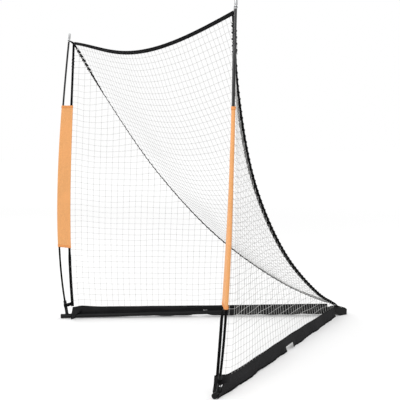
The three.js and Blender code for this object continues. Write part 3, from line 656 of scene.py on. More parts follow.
paint = coated_metal("black_powder_coat", "frame_paint", (0.0075, 0.0077, 0.0082), 0.46, 900.0, 0.35)
rubber = coated_metal("black_rubber", "cap_rubber", (0.0065, 0.0065, 0.0066), 0.72, 380.0, 0.8)
moulding = coated_metal("black_moulding", "moulded_black", (0.0085, 0.0085, 0.0086), 0.52, 620.0, 0.5)
glassfibre = long_fibre("black_glassfibre", "pole_glassfibre", (0.0035, 0.0037, 0.004), 0.3)
# A darker, matte copy of the glass-fibre, for the lower rod
dark_matte_glassfibre = long_fibre("dark_matte_glassfibre", "pole_glassfibre", (0.002, 0.0021, 0.0023), 0.02)
zinc = metal("zinc_plate", "plated_steel", (0.42, 0.43, 0.45), 0.34, (1, 1, 0.06))
aluminium = metal("silver_aluminium", "tip_aluminium", (0.46, 0.465, 0.47), 0.34, (0.06, 0.06, 1))
spring_steel = metal("spring_steel", "spring_steel", (0.62, 0.63, 0.64), 0.3, (0.3, 0.3, 1))
webbing = woven("black_webbing", "black_webbing", (0.0032, 0.0032, 0.0035), (0.0022, 0.0026),
                1.8, 0.85, 0.0004)
black_thread = twisted("black_thread", "black_webbing", (0.006, 0.006, 0.0063), 0.002, 0.75)
thread = twisted("grey_thread", "black_webbing", (0.09, 0.09, 0.092), 0.002, 0.7)
black_cord = twisted("black_lacing", "black_webbing", (0.008, 0.008, 0.0085), 0.006, 0.75)
# The skirt's strong cloud tint is painted light and shade, standing in for its folds
skirt_cloth = woven("black_nylon", "skirt_cloth", (0.018, 0.018, 0.0188), (0.0007, 0.0007),
                    1.7, 0.85, 0.00012, 2.0)
binding = woven("black_binding", "skirt_cloth", (0.004, 0.004, 0.0043), (0.0014, 0.0014),
                2.0, 0.8, 0.0002)
orange_cloth = woven("orange_nylon", "sleeve_cloth", (0.98, 0.45, 0.175), (0.0008, 0.0008),
                     1.12, 0.66, 0.00014, 0.9, 0.1)
orange_hem = woven("orange_binding", "sleeve_cloth", (0.96, 0.38, 0.13), (0.0014, 0.0014),
                   1.1, 0.7, 0.0002, 0.9)
net_cord = twisted("white_net_cord", "net_cord", (0.58, 0.58, 0.57), 0.0045, 0.75)

NODE_LOOKS = {
    "front_leg_tube": paint, "rear_leg_tube": paint, "pole_socket": paint, "leg_cap": rubber,
    "pole_foot": zinc, "pole_ferrule": zinc, "leg_button": spring_steel,
    "leg_spring_clip": spring_steel, "socket_button": spring_steel, "socket_spring_clip": spring_steel,
}


def smooth_by_angle():
    """A node group that shades a faceted solid smooth but for its real edges."""
    tree = bpy.data.node_groups.new("smooth_by_angle", "GeometryNodeTree")
    for way in ("INPUT", "OUTPUT"):
        tree.interface.new_socket("Geometry", in_out=way, socket_type="NodeSocketGeometry")
    source, result, faces, edges, angle, sharp = (tree.nodes.new(kind) for kind in (
        "NodeGroupInput", "NodeGroupOutput", "GeometryNodeSetShadeSmooth", "GeometryNodeSetShadeSmooth",
        "GeometryNodeInputMeshEdgeAngle", "FunctionNodeCompare"))
    edges.domain = "EDGE"
    edges.inputs["Shade Smooth"].default_value = False
    sharp.inputs[1].default_value = math.radians(SMOOTH_ANGLE)
    for start, end in (
        (source.outputs[0], faces.inputs["Geometry"]), (faces.outputs[0], edges.inputs["Geometry"]),
        (angle.outputs["Unsigned Angle"], sharp.inputs[0]), (sharp.outputs[0], edges.inputs["Selection"]),
        (edges.outputs[0], result.inputs[0]),
    ):
        tree.links.new(start, end)
    return tree


smooth_group = smooth_by_angle()


def finish_node(name, material, bevel=0.0):
    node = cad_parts[name]
    node.data.materials.clear()
    node.data.materials.append(material)
    if bevel:
        rounding = node.modifiers.new("edges", "BEVEL")
        rounding.width = bevel * MM
        rounding.segments = 2
        rounding.limit_method = "ANGLE"
        rounding.angle_limit = math.radians(SMOOTH_ANGLE)
    node.modifiers.new("smooth", "NODES").node_group = smooth_group


for side in SIDES:
    for node_name, look in NODE_LOOKS.items():
        finish_node(f"{side}_{node_name}", look)
finish_node("rear_corner_block", moulding, BLOCK_BEVEL)

pole_leave = FOOT + POLE_AXIS * SOCKET_LENGTH
pole_run = bezier(pole_leave, pole_leave + POLE_AXIS * POLE_RISE, from_foot(POLE_SHOULDER),
                  from_foot(POLE_TOP))
pole_end = pole_run[-1]
tip_axis = unit(pole_run[-1] - pole_run[-2])
whole_pole = np.vstack([FOOT + POLE_AXIS * POLE_START, pole_run, pole_end + tip_axis * TIP_BORE])


def pole_half(start, end=None):
    return round_bar(resample(whole_pole, RUN_STEP, start, end), POLE_RADIUS, ACROSS, POLE_SIDES)


meet = SOCKET_LENGTH - POLE_START + FERRULE_SHARE * lengths(pole_run)[-1]
add_pair("lower_rod", pole_half(0, meet - MEET_GAP / 2), dark_matte_glassfibre, ["lower_pole"])
add_pair("upper_rod", pole_half(meet + MEET_GAP / 2), glassfibre, ["upper_pole"])


def tip_shape():
    """The cap with its bore, turned about the pole's end."""
    bore, floor = POLE_RADIUS + TIP_GAP, TIP_BORE + BORE_GAP
    profile = vec((0, floor), (bore, floor), (bore, TIP_PROFILE[0][1]), *TIP_PROFILE)
    turn = angles(TIP_SIDES)
    rings = pole_end + profile[:, None, :1] * spokes(tip_axis, turn) + profile[:, None, 1:] * tip_axis
    return skin(rings, np.append(turn, 2 * math.pi) * profile[:, 0].max(), lengths(profile))


add_pair("tip_cap", tip_shape(), aluminium, ["pole_tip"])

leg_front = FOOT - HEADING * FRONT_OVERHANG
leg_axis = unit(vec(0, FRAME_DEPTH, CAP_RADIUS + REAR_RISE) - leg_front)


def socket_floor(ring):
    """How far up the pole axis each of a socket ring's lines leaves the base tube."""
    low, high = np.full(len(ring), -TUBE_RADIUS), np.full(len(ring), 3.0 * TUBE_RADIUS)
    for _ in range(HALVINGS):
        middle = (low + high) / 2
        point = ring + POLE_AXIS * middle[:, None] - leg_front
        clear = np.linalg.norm(point - leg_axis * (point @ leg_axis)[:, None], axis=1)
        inside = clear < TUBE_RADIUS + WELD_SINK
        low, high = np.where(inside, middle, low), np.where(inside, high, middle)
    return high


def weld_bead():
    """The fillet of weld round the socket's foot, in overlapping ripples."""
    turn = angles(WELD_SIDES)
    ring = FOOT + SOCKET_RADIUS * spokes(POLE_AXIS, turn)
    line = ring + POLE_AXIS * (socket_floor(ring) + WELD_GAP)[:, None]
    ripple = 1 + WELD_RIPPLE * np.sin(turn * WELD_RIPPLES)
    return round_bar(line, WELD_RADIUS, POLE_AXIS, 10, True, ripple)


add_pair("socket_weld", weld_bead(), paint)

corner = from_foot(CORNER)


def strap_drop(share):
    return TOP_SAG * (1 - share**2) * (1 - TOP_FLAT_SHARE * share**2)


def strap_bow(share):
    return TOP_BACK_BOW * (1 - share**2) * share**2


top_share = np.linspace(-1, 1, TOP_POINTS)
top_run = np.stack([corner[0] * top_share, corner[1] + strap_bow(top_share),
                    corner[2] - strap_drop(top_share)], 1)
edge_run = bezier(from_foot(EDGE_BOTTOM), from_foot(EDGE_LOW_BEND), from_foot(EDGE_HIGH_BEND),
                  corner - vec(0, 0, TOP_WIDTH / 2 + SEAM / 2))
diagonal_run = spline([corner, *DIAGONAL, DIAGONAL_END], SPAN_POINTS)


def edge_lay(height):
    """The level direction from the front webbing to the pole."""
    return unit((at_height(pole_run, height) - at_height(edge_run, height)) * vec(1, 1, 0))


edge_side = edge_lay((SLEEVE_BOTTOM + SLEEVE_TOP) / 2)


def edge_sides(heights):
    """The webbing's width direction, turned a little where no sleeve holds it flat."""
    low = 1 - smooth(heights, SLEEVE_BOTTOM - EDGE_FADE, SLEEVE_BOTTOM)
    high = smooth(heights, SLEEVE_TOP, SLEEVE_TOP + EDGE_FADE)
    return turn_about(UP, edge_side, np.radians(LOW_EDGE_TURN * low + HIGH_EDGE_TURN * high))


def diagonal_sides(points):
    """The sloping webbing's width direction, turned about its run as the side net pulls it."""
    along = headings(points)
    down = points[0, 2] - points[:, 2]
    left = lengths(points)[-1] - lengths(points)
    turn = (DIAGONAL_TURN * smooth(down, *DIAGONAL_TURN_DROP)
            + DIAGONAL_LOW_TURN * (1 - smooth(left, *DIAGONAL_LOW_LEFT)))
    return spokes(along, np.radians(turn * smooth(left, *DIAGONAL_FADE)))


diagonal_band = resample(diagonal_run, RUN_STEP, DIAGONAL_START)
diagonal_side = diagonal_sides(diagonal_run)
diagonal_turned = diagonal_sides(diagonal_band)
edge_band = np.vstack([resample(edge_run, RUN_STEP), corner + vec(*EDGE_TUCK)])
edge_turned = edge_sides(edge_band[:, 2])
top_lean = UP + TOP_LEAN * smooth(-top_share, 0, 1)[:, None] * vec(0, 1, 0)


def band(points, width, side):
    return sweep(points, strap_section(width, WEBBING), side)


add("top_strap", band(top_run, TOP_WIDTH, top_lean), webbing, ["top_webbing"])
add_pair("edge_strap", band(edge_band, EDGE_WIDTH, edge_turned), webbing, ["edge_webbing"])
add_pair("diagonal_strap", band(diagonal_band, DIAGONAL_WIDTH, diagonal_turned), webbing,
         ["diagonal_webbing"])


def band_axes(points, side, places, reach):
    """The directions along a band, across it and out of it, at places along it."""
    along = unit(at_length(points, places + reach) - at_length(points, places - reach))
    across = square(at_measure(np.broadcast_to(side, points.shape), lengths(points), places), along)
    return along, across, np.cross(along, across)


def stitches(points, side, asides=(0,), faces=(1, -1)):
    """Rows of stitches along a band, at these places across it, on one or both of its faces."""
    places = np.arange(STITCH_PITCH, lengths(points)[-1] - STITCH_PITCH, STITCH_PITCH)
    middle = at_length(points, places)
    along, across, depth = band_axes(points, side, places, 0.5)
    shapes = []
    for aside, face in itertools.product(asides, faces):
        start = middle + across * aside + depth * WEBBING / 2 * face - along * STITCH_LENGTH / 2
        for one, way, wide, deep in zip(start, along, across, depth * face):
            run = np.array([one + way * STITCH_LENGTH * share + deep * STITCH_RADIUS * rise
                            for share, rise in STITCH_SHAPE])
            shapes.append(round_bar(run, STITCH_RADIUS, wide, 4))
    return merged(*shapes)


def seams(width):
    return STITCH_INSET - width / 2, width / 2 - STITCH_INSET


add("top_strap_stitches", stitches(top_run, top_lean), thread)
add_pair("edge_strap_stitches", stitches(edge_band, edge_turned, seams(EDGE_WIDTH)), black_thread)
add_pair("diagonal_strap_stitches", stitches(diagonal_band, diagonal_turned), thread)


def lacing(points, side, width, pitch, radius, start, end):
    """A cord that winds round a band between two places along it."""
    places = np.linspace(start, end, int((end - start) / pitch * LACING_STEPS) + 1)
    across, depth = band_axes(points, side, places, 1)[1:]
    angle = 2 * math.pi * (places - start) / pitch
    reach = width / 2 + radius + LACING_SIDE_GAP
    rise = WEBBING / 2 + radius + LACING_FACE_GAP
    flat_cos = np.sign(np.cos(angle)) * np.abs(np.cos(angle)) ** LACING_SQUARE
    line = (at_length(points, places) + across * (reach * flat_cos)[:, None]
            + depth * (rise * np.sin(angle))[:, None])
    return round_bar(line, radius, LACING_HINT, 6)


lacing_end = lengths(diagonal_run)[-1] - LACING_END
for name, winding, cord in (
    ("white_lashing", WHITE_LASHING, net_cord), ("black_lashing", BLACK_LASHING, black_cord),
    ("black_lacing", (MESH, LACING_RADIUS, LACING_START, lacing_end), black_cord),
):
    add_pair(name, lacing(diagonal_run, diagonal_side, DIAGONAL_WIDTH, *winding), cord)
corner_span = [lengths(edge_run)[-1] - left for left in CORNER_LASHING[2:]]
add_pair("corner_lashing", lacing(edge_run, edge_side, EDGE_WIDTH, *CORNER_LASHING[:2], *corner_span),
         black_cord)


def net_wave(u, v, seed, strength):
    """A smooth, seeded unevenness over a net's two lengths."""
    rng = np.random.default_rng(seed)
    total = np.zeros(np.broadcast(u, v).shape)
    for _ in range(NET_WAVES):
        turn, span, start = rng.uniform(0, math.pi), rng.uniform(*NET_SPANS), rng.uniform(0, 7)
        total = total + np.sin(2 * math.pi * (u * math.cos(turn) + v * math.sin(turn)) / span + start)
    return strength * total / math.sqrt(NET_WAVES)


def mesh_lines(low, high):
    return np.arange(math.ceil(low / MESH), math.floor(high / MESH) + 1) * float(MESH)


def strand_places(low, high):
    """Places along a strand: each knot with a point close on both sides of it, and mid-mesh."""
    knots = mesh_lines(low, high)
    places = np.concatenate([knots + offset for offset in (-KNOT_REACH, 0, KNOT_REACH, MESH / 2)])
    places = places[(places > low + 1) & (places < high - 1)]
    return np.sort(np.concatenate([[low, high], places]))


def knot_scale(places):
    off = np.abs((places + MESH / 2) % MESH - MESH / 2)
    return np.where(off < 0.5, KNOT_SHARE, 1.0)


def net_shape(place, first, last, limit, hint, is_mirrored=False):
    """Strands both ways over a flat outline, laid on their curved place."""
    samples = np.linspace(first, last, NET_SAMPLES)
    limits = limit(samples)
    lines = []
    for x in mesh_lines(first, last):
        top = np.interp(x, samples, limits)
        bottom = -top if is_mirrored else 0.0
        if top - bottom > MESH / 3:
            ys = strand_places(bottom, top)
            lines.append((place(np.full_like(ys, x), ys), ys))
    for y in mesh_lines(-limits.max() if is_mirrored else MESH, limits.max()):
        reach = samples[limits > abs(y)]
        if len(reach) > 1 and reach[-1] - first > MESH / 3:
            xs = strand_places(first, reach[-1])
            lines.append((place(xs, np.full_like(xs, y)), xs))
    return merged(*[round_bar(line, STRAND_RADIUS, hint, NET_SIDES, scale=knot_scale(places))
                    for line, places in lines])


def along_leg(points):
    return (points - FOOT) @ HEADING


def on_leg(*place):
    """Points at distances along the base tube, outward from it, and heights."""
    distance, outward, height = np.broadcast_arrays(*place)
    flat = FOOT + distance[..., None] * HEADING + outward[..., None] * OUTWARD
    return flat * vec(1, 1, 0) + height[..., None] * UP


def skirt_top_out(distance):
    lean = mix(SKIRT_LEAN, SKIRT_REAR_LEAN, smooth(distance, LEG_RUN / 2, LEG_RUN))
    return mix(-SKIRT_FRONT_IN, lean, smooth(distance, SKIRT_TURN_START, SKIRT_WRAP))


def skirt_top_up(distance):
    return mix(SKIRT_FRONT_TOP, SKIRT_TOP, smooth(distance, SKIRT_TURN_START, SKIRT_FALL_END))


diagonal_leg = along_leg(diagonal_run)
corner_leg = along_leg(corner)
side_length = diagonal_leg[-1] - corner_leg
bottom_leg = along_leg(from_foot(EDGE_BOTTOM))


def side_top(share):
    return at_measure(diagonal_run, diagonal_leg, corner_leg + share * side_length)


def side_bottom(share):
    distance = mix(bottom_leg, diagonal_leg[-1], share)
    return on_leg(distance, skirt_top_out(distance), skirt_top_up(distance) + SEAM)


def side_height(distance):
    share = distance / side_length
    return side_top(share)[..., 2] - side_bottom(share)[..., 2]


def side_place(distance, height):
    """Where the side net has a place of its flat outline, pulled to the front webbing's bow."""
    share = distance / side_length
    rise = height / np.maximum(side_height(distance), 1e-6)
    bottom, top = side_bottom(share), side_top(share)
    front_bottom, front_top = side_bottom(0), side_top(0)
    front_straight = front_bottom + (front_top - front_bottom) * rise[..., None]
    front = at_height(edge_run, front_straight[..., 2])
    pull = (front - front_straight) * vec(1, 1, 0) * ((1 - share) ** 3)[..., None]
    free, span = SIDE_HOLD
    held = np.minimum((distance - free) / span, 1) * np.clip(rise * (1 - rise) * 9, 0, 1)
    across = np.interp(height, side_heights[::-1], side_reach[::-1])
    part = np.clip(distance / np.maximum(across, 1), 0, 1)
    sag = NET_SAG * 4 * part * (1 - part) * smooth(height, *NET_SAG_RISE)
    sway, drag = (net_wave(distance, height, *wave) * held for wave in SIDE_WAVES)
    return (bottom + (top - bottom) * rise[..., None] + pull
            + OUTWARD * (SIDE_SWAY_SHARE * sway)[..., None] + UP * (drag - sag * held)[..., None])


side_reach = np.linspace(0, side_length, RUN_POINTS)
side_heights = np.minimum.accumulate(side_height(side_reach))


def side_limit(distance):
    return side_height(distance) - NET_TOP_GAP


side_net = net_shape(side_place, SEAM, side_length - NET_END_GAP, side_limit, OUTWARD)
add_pair("side_netting", side_net, net_cord, ["side_net"])

slope = lengths(diagonal_run[:, 1:])


def back_place(distance, across):
    """Where the back net has a place of its flat outline."""
    edge = at_measure(diagonal_run, slope, distance)
    share = np.clip(across / edge[..., 0], -1, 1)
    fade = 1 - distance / slope[-1]
    free, span = BACK_HOLD
    held = np.clip((1 - share**2) * 4, 0, 1) * np.clip((distance - free) / span, 0, 1) * fade
    middle = np.stack([across, edge[..., 1] + strap_bow(share) * fade,
                       edge[..., 2] - strap_drop(share) * fade], -1)
    sway, drag = (net_wave(distance, across, *wave) * held for wave in BACK_WAVES)
    return middle + unit(BACK_OUT) * sway[..., None] + ACROSS * drag[..., None]


def back_limit(distance):
    return at_measure(diagonal_run, slope, distance)[..., 0] - DIAGONAL_WIDTH / 2 + NET_LAP


back_net = net_shape(back_place, TOP_WIDTH / 2, slope[-1] - NET_TIP_GAP, back_limit, BACK_OUT, True)
add("back_netting", back_net, net_cord, ["back_net"])


def cloth(points, us, vs, kept):
    """A sheet over the kept squares of a grid of points."""
    i, j = np.nonzero(kept)
    corners = [(i, j), (i + 1, j), (i + 1, j + 1), (i, j + 1)]
    faces = np.stack([a * points.shape[1] + b for a, b in corners], 1)
    used, flat = np.unique(faces, return_inverse=True)
    return (points.reshape(-1, 3)[used], flat.reshape(faces.shape).tolist(),
            quad_uvs([(us[a], vs[b]) for a, b in corners]))


def thicken(piece, thickness):
    layer = piece.modifiers.new("thickness", "SOLIDIFY")
    layer.thickness = thickness * MM
    layer.offset = 0


def creases(u, v, seed, count, spans, lean, strength):
    """Sharp, seeded folds over a cloth."""
    rng = np.random.default_rng(seed)
    total = np.zeros(np.broadcast(u, v).shape)
    for _ in range(count):
        span, start = rng.uniform(*spans), rng.uniform(0, 9)
        tilt, weight = rng.uniform(-lean, lean), rng.uniform(0.4, 1)
        window = 0.5 + 0.5 * np.sin(2 * math.pi * u / (span * rng.uniform(2.2, 4)) + rng.uniform(0, 9))
        fold = 1 - np.abs(np.sin(math.pi * (u + v * tilt) / span + start)) ** CREASE_POWER
        total = total + weight * fold * window
    return strength * total / count


def pairs(*columns):
    return np.stack(np.broadcast_arrays(*columns), -1).astype(float)


def skirt_knots(marks, slit_lift):
    """Down the cloth at each mark: top, middle, inner fold, shoulder, side and hem."""
    axis_up = CAP_RADIUS + REAR_RISE * (marks + FRONT_OVERHANG) / (LEG_RUN + FRONT_OVERHANG)
    side_out = HUB_RADIUS + SKIRT_SIDE_GAP
    tube_top = axis_up + HUB_RADIUS + SKIRT_TOP_GAP
    over = smooth(marks, SKIRT_SLIT_START, SKIRT_TURN_START)[:, None]
    top = pairs(skirt_top_out(marks), skirt_top_up(marks))
    shoulder = mix(pairs(side_out, axis_up + SKIRT_SLIT_RISE), pairs(SKIRT_SHOULDER, tube_top), over)
    pulled = smooth(marks, *SLIT_PULL) * (1 - smooth(marks, SKIRT_LIFT_START, SKIRT_WRAP))
    shoulder = shoulder + pairs(SLIT_LEAN * pulled, pulled) * slit_lift
    flare = mix(-SKIRT_TOE_TUCK, SKIRT_FLARE, smooth(marks, 0, SKIRT_WRAP))
    fold = pairs(
        mix(-SKIRT_FRONT_IN, -side_out - SKIRT_TUBE_GAP,
            smooth(marks, SKIRT_TURN_START, SKIRT_LIFT_START)),
        mix(SKIRT_HEM, tube_top, smooth(marks, SKIRT_LIFT_START, SKIRT_LIFT_END)))
    fold = mix(fold, (shoulder + top) / 2, smooth(marks, SKIRT_LIFT_END, SKIRT_WRAP)[:, None])
    ripple = SKIRT_WAVE * smooth(marks, SKIRT_LIFT_END, 2 * SKIRT_WRAP)
    wave = ripple * np.sin(2 * math.pi * SKIRT_WAVES * marks / LEG_RUN)
    inner, outer = pairs(wave / 2, 0), pairs(wave + ripple, 0)
    return np.stack([
        top + inner, (top + fold) / 2 + inner, fold + inner, shoulder + outer,
        pairs(side_out, axis_up) + outer, pairs(side_out + flare, SKIRT_HEM) + outer,
    ], 1)


skirt_rows = np.linspace(0, HEM_ROW, HEM_ROW * PROFILE_STEPS + 1)


def skirt_grid(marks, slit_lift):
    """The knots' curve down the cloth at each mark along the base tube, as (out, up)."""
    knots = skirt_knots(marks, slit_lift)
    span = np.minimum(skirt_rows.astype(int), HEM_ROW - 1)
    t = (skirt_rows - span)[None, :, None]
    padded = np.concatenate([2 * knots[:, :1] - knots[:, 1:2], knots,
                             2 * knots[:, -1:] - knots[:, -2:-1]], 1)
    a, b, c, d = (padded[:, span + k] for k in range(4))
    return hermite(b, c, CLOTH_TENSION * (c - a), CLOTH_TENSION * (d - b), t)


def skirt_points(marks, slit_lift):
    """The cloth's points, with folds, puckers, a wavy hem and the flaps beside the gap."""
    grid = skirt_grid(marks, slit_lift)
    down = skirt_rows[None, :] / HEM_ROW
    u, v = marks[:, None], down * SKIRT_WIDTH
    low_part = smooth(down, 0.5, 0.85)
    settle = smooth(marks, SKIRT_LIFT_END, 2 * SKIRT_WRAP)[:, None]
    folds = creases(u, v, *SKIRT_FOLDS) * low_part * settle
    puckers = creases(u, v, *SKIRT_PUCKERS) * smooth(down, 0.05, 0.3) * mix(0.3, 1, settle)
    outward = grid[..., 0] + folds + puckers * (0.35 + 0.65 * low_part)
    hem_wave = sum((deep * np.sin(marks / span + start) for deep, span, start in HEM_WAVES), HEM_LIFT)
    height = grid[..., 1] + smooth(down, 0.66, 1) * hem_wave[:, None] * settle
    half = NOTCH_LENGTH / 2
    (front_length, front_out, front_slide), (rear_length, rear_out, rear_slide) = FRONT_FLAP, REAR_FLAP
    front_flap, rear_flap = (
        (np.clip(1 - (beyond - half) / length, 0, 1) * (beyond > 0))[:, None]
        for beyond, length in ((NOTCH - marks, front_length), (marks - NOTCH, rear_length)))
    droop = smooth(down, 0.6, 1)
    outward = outward + droop * (rear_out * rear_flap**2 + front_out * front_flap**2)
    height = np.maximum(height + REAR_FLAP_LIFT * droop * rear_flap**3, SKIRT_HEM)
    slide = droop**2 * (front_slide * front_flap**2 + rear_slide * rear_flap**1.5)
    reach = 1 - smooth(marks, SKIRT_START, SKIRT_LIFT_START)
    slant = SKIRT_SLANT * reach[:, None] * (1 - height / skirt_top_up(marks)[:, None])
    is_inner = skirt_rows[None, :] <= FOLD_ROW
    return on_leg(marks[:, None] + slide - slant * is_inner, outward, height)


toe = CAP_FLANGE + SKIRT_CAP_GAP - FRONT_OVERHANG
notch_ends = (NOTCH - NOTCH_LENGTH / 2 - NOTCH_FRONT_CUT, NOTCH + NOTCH_LENGTH / 2)
skirt_marks = np.unique(np.concatenate([
    np.arange(toe, LEG_RUN - SKIRT_REAR_GAP, SKIRT_STEP), [LEG_RUN - SKIRT_REAR_GAP],
    notch_ends, [SKIRT_START, SKIRT_LIFT_END]]))
middles = ((skirt_marks[1:] + skirt_marks[:-1]) / 2)[:, None]
row_middles = ((skirt_rows[1:] + skirt_rows[:-1]) / 2)[None, :]
skirt_kept = np.where(
    row_middles < FOLD_ROW, middles > SKIRT_START,
    np.where(row_middles < SHOULDER_ROW, middles > SKIRT_LIFT_END,
             (middles < notch_ends[0]) | (middles > notch_ends[1])
             | (row_middles < SHOULDER_ROW + NOTCH_TOP_SHARE)))


def skirt_line(places, row, start, end):
    """Points of a row of the cloth, from one mark to another, either way."""
    chosen = (skirt_marks >= min(start, end)) & (skirt_marks <= max(start, end))
    line = places[chosen, row * PROFILE_STEPS]
    return line if end > start else line[::-1]


def skirt_edge(places, mark, first_row, last_row):
    column = int(np.argmin(np.abs(skirt_marks - mark)))
    return places[column, first_row * PROFILE_STEPS:last_row * PROFILE_STEPS + 1]


def add_skirt(side, slit_lift):
    """One side's skirt, with the welt round its top and slit and the bands along its hem."""
    places = skirt_points(skirt_marks, slit_lift)
    slit_edge = np.vstack([
        skirt_edge(places, SKIRT_START, 0, FOLD_ROW),
        skirt_line(places, FOLD_ROW, SKIRT_START, SKIRT_LIFT_END)[1:],
        skirt_edge(places, SKIRT_LIFT_END, FOLD_ROW, SHOULDER_ROW)[1:],
        skirt_line(places, SHOULDER_ROW, SKIRT_LIFT_END, toe)[1:],
        skirt_edge(places, toe, SHOULDER_ROW, HEM_ROW)[1:],
    ])
    hem_runs = [skirt_line(places, HEM_ROW, toe, notch_ends[0]),
                skirt_line(places, HEM_ROW, notch_ends[1], LEG_RUN)]
    sheet = cloth(places, skirt_marks, skirt_rows * SKIRT_WIDTH / HEM_ROW, skirt_kept)
    welt = merged(round_bar(skirt_line(places, 0, SKIRT_START, LEG_RUN), WELT_RADIUS, OUTWARD),
                  round_bar(slit_edge, SLIT_WELT_RADIUS, OUTWARD + HEADING + UP, 8))
    hem = merged(*[sweep(run + HEM_BAND[1] * UP, strap_section(*HEM_BAND), UP) for run in hem_runs])
    piece = add_side(side, "skirt", sheet, skirt_cloth, ["base_skirt"])
    thicken(piece, SKIRT_THICKNESS)
    trims = [add_side(side, "skirt_welt", welt, binding), add_side(side, "skirt_hem", hem, binding)]


for side, slit_lift in SLIT_LIFTS.items():
    add_skirt(side, slit_lift)


def sleeve_ring(heights):
    """Round the sleeve at each height: its start and direction, and places along and beside it."""
    lay = edge_lay(heights)
    start = at_height(edge_run, heights) - lay * EDGE_WIDTH / 2
    wide, narrow = FERRULE_RADIUS + SLEEVE_POLE_GAP, WEBBING / 2 + SLEEVE_EDGE_GAP
    gap = ((at_height(pole_run, heights) - start) * lay).sum(-1)[:, None]
    turn, share = np.linspace(-math.pi / 2, math.pi / 2, 15), np.linspace(0, 1, 16)[1:-1]
    back = turn + math.pi
    forward = np.hstack([gap + wide * np.cos(turn), gap * (1 - share),
                         gap * 0 + narrow * np.cos(back), gap * share])
    aside = np.hstack([wide * np.sin(turn), mix(wide, narrow, share), narrow * np.sin(back),
                       -mix(narrow, wide, share)])
    return start, lay, forward, aside


def sleeve_shape(low, high, growth, step):
    heights = np.linspace(low, high, int((high - low) / step) + 1)
    start, lay, forward, aside = sleeve_ring(heights)
    up = heights[:, None]
    part = forward / forward.max(1, keepdims=True)
    flat = np.clip(4 * part * (1 - part), 0, 1)
    face = np.sign(aside)
    folds = creases(up, part * 70 + face * 900, *SLEEVE_FOLDS) * flat
    drape = SLEEVE_DRAPE * np.sin(part * 5 * math.pi + up / 130 + face) * flat
    aside = aside * (1 + growth / 10) + face * (folds - SLEEVE_SINK + drape) + face * growth
    forward = forward + np.where(part > 0.5, growth, -growth) * (np.abs(part - 0.5) > 0.4)
    rings = (start[:, None] + lay[:, None] * forward[..., None]
             + np.cross(UP, lay)[:, None] * aside[..., None])
    return skin(rings, lengths(np.vstack([rings[0], rings[0][:1]])), heights, ends=False)


def add_sleeve(side, low, high):
    """One side's sleeve between two heights, with a hem band round each end."""
    hem_spans = ((low + SLEEVE_HEM_GAP, low + SLEEVE_HEM), (high - SLEEVE_HEM, high - SLEEVE_HEM_GAP))
    hems = [sleeve_shape(*span, SLEEVE_HEM_GROWTH, SLEEVE_HEM_STEP) for span in hem_spans]
    sleeve = sleeve_shape(low, high, 0, SLEEVE_STEP)
    piece = add_side(side, "sleeve", sleeve, orange_cloth, ["pole_sleeve"])
    hem = add_side(side, "sleeve_hem", merged(*hems), orange_hem)
    thicken(piece, SLEEVE_THICKNESS)
    thicken(hem, SLEEVE_THICKNESS)


for side, span in SLEEVE_SPANS.items():
    add_sleeve(side, *span)


def loop_path(centre, axis, radius, anchor):
    """A closed path round an axis that draws together at an anchor beside it."""
    towards = square(anchor - centre, axis)
    opening = math.acos(radius / ((anchor - centre) @ towards))
    angle = opening + (2 * math.pi - 2 * opening) * np.linspace(0, 1, LOOP_STEPS + 1)
    line = np.vstack([anchor, centre + radius * turn_about(axis, towards, angle), anchor])
    return resample(line, lengths(line)[-1] / LOOP_POINTS)[:-1]


corner_pull = corner + square(ACROSS, tip_axis) * CORNER_PULL
loop = loop_path(pole_end + tip_axis * NECK_HEIGHT, tip_axis, NECK_LOOP_RADIUS, corner_pull)
wide_at = np.clip(1 - np.linalg.norm(loop - corner_pull, axis=1) / CORNER_BAND_REACH, 0, 1)
add_pair("corner_band", sweep(loop, strap_section(CORNER_BAND_WIDTH, STRAP_THICKNESS), tip_axis, True,
                              mix(*CORNER_BAND_SCALE, wide_at)), webbing, ["corner_loop"])
anchor_height = EDGE_BOTTOM[2] + STRAP_RISE
strap_anchor = at_height(edge_run, anchor_height) + edge_lay(anchor_height) * (EDGE_WIDTH / 2 + SEAM)
socket_loop = loop_path(FOOT + POLE_AXIS * STRAP_HEIGHT, POLE_AXIS, SOCKET_RADIUS + STRAP_GAP,
                        strap_anchor)
add_pair("socket_band", sweep(socket_loop, strap_section(STRAP_WIDTH, STRAP_THICKNESS), POLE_AXIS, True),
         webbing, ["socket_strap"])

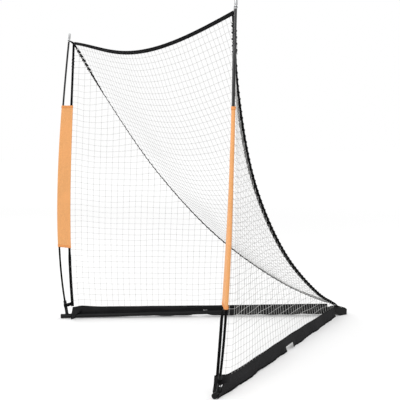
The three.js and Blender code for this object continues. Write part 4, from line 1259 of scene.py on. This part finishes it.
hub_top = CAP_RADIUS + REAR_RISE + HUB_RADIUS + POCKET_LIFT
hub_end, hub_back = FRAME_DEPTH + HUB_TOP_LENGTH, FRAME_DEPTH + HUB_REACH
pocket_run = spline([
    (0, FRAME_DEPTH, hub_top), (0, hub_end - 3, hub_top), (0, hub_end + 6, hub_top - 1.2),
    (0, hub_back - 5, HUB_NOSE + POCKET_LIFT + 2.2), (0, hub_back + POCKET_LIFT, HUB_NOSE - 4),
    (0, hub_back + POCKET_LIFT, HUB_NOSE - POCKET_DROP),
], 8)
add("pocket_band", band(pocket_run, POCKET_WIDTH, ACROSS), webbing, ["rear_pocket"])
add("pocket_stitches", stitches(pocket_run, ACROSS, seams(POCKET_WIDTH), (1,)), thread)

floor_mesh = bpy.data.meshes.new("floor")
corners = [(x * FLOOR_SIZE / 2, y * FLOOR_SIZE / 2, 0) for x, y in ((-1, -1), (1, -1), (1, 1), (-1, 1))]
floor_mesh.from_pydata(corners, [], [(0, 1, 2, 3)])
floor = new_object("floor", floor_mesh)

floor_look = bpy.data.materials.new("pale_floor")
s = Look(floor_look, "Principled BSDF", Base_Color=(FLOOR_COLOR, FLOOR_COLOR, FLOOR_COLOR, 1),
         Roughness=FLOOR_ROUGHNESS, Specular_IOR_Level=0, Emission_Color=(1, 1, 1, 1))
from_middle = s.node("ShaderNodeTexCoord").outputs["Object"]
distance = s.node("ShaderNodeVectorMath", {"operation": "LENGTH"}, from_middle)
evened = s.ramp(distance.outputs["Value"], *FLOOR_GLOW, *GLOW_RANGE, "SMOOTHSTEP")
s.set(s.shader, "Emission Strength", s.math("MULTIPLY", s.seen_directly(), evened))
floor_mesh.materials.append(floor_look)

world = bpy.data.worlds.new("studio")
bpy.context.scene.world = world
s = Look(world, "Background", Color=(1, 1, 1, 1))
s.set(s.shader, "Strength", s.ramp(s.seen_directly(), WORLD_LIGHT, 1.0))

for name, spot, size, power in LAMPS:
    lamp = new_object(name, bpy.data.lights.new(name, "AREA"))
    lamp.data.size = size
    lamp.data.energy = power
    lamp.location = spot
    aim = vec(*LAMP_TARGET) - spot
    lamp.rotation_euler = (math.atan2(math.hypot(aim[0], aim[1]), -aim[2]), 0,
                           math.atan2(aim[1], aim[0]) - math.pi / 2)

bpy.context.scene.view_settings.view_transform = "Standard"
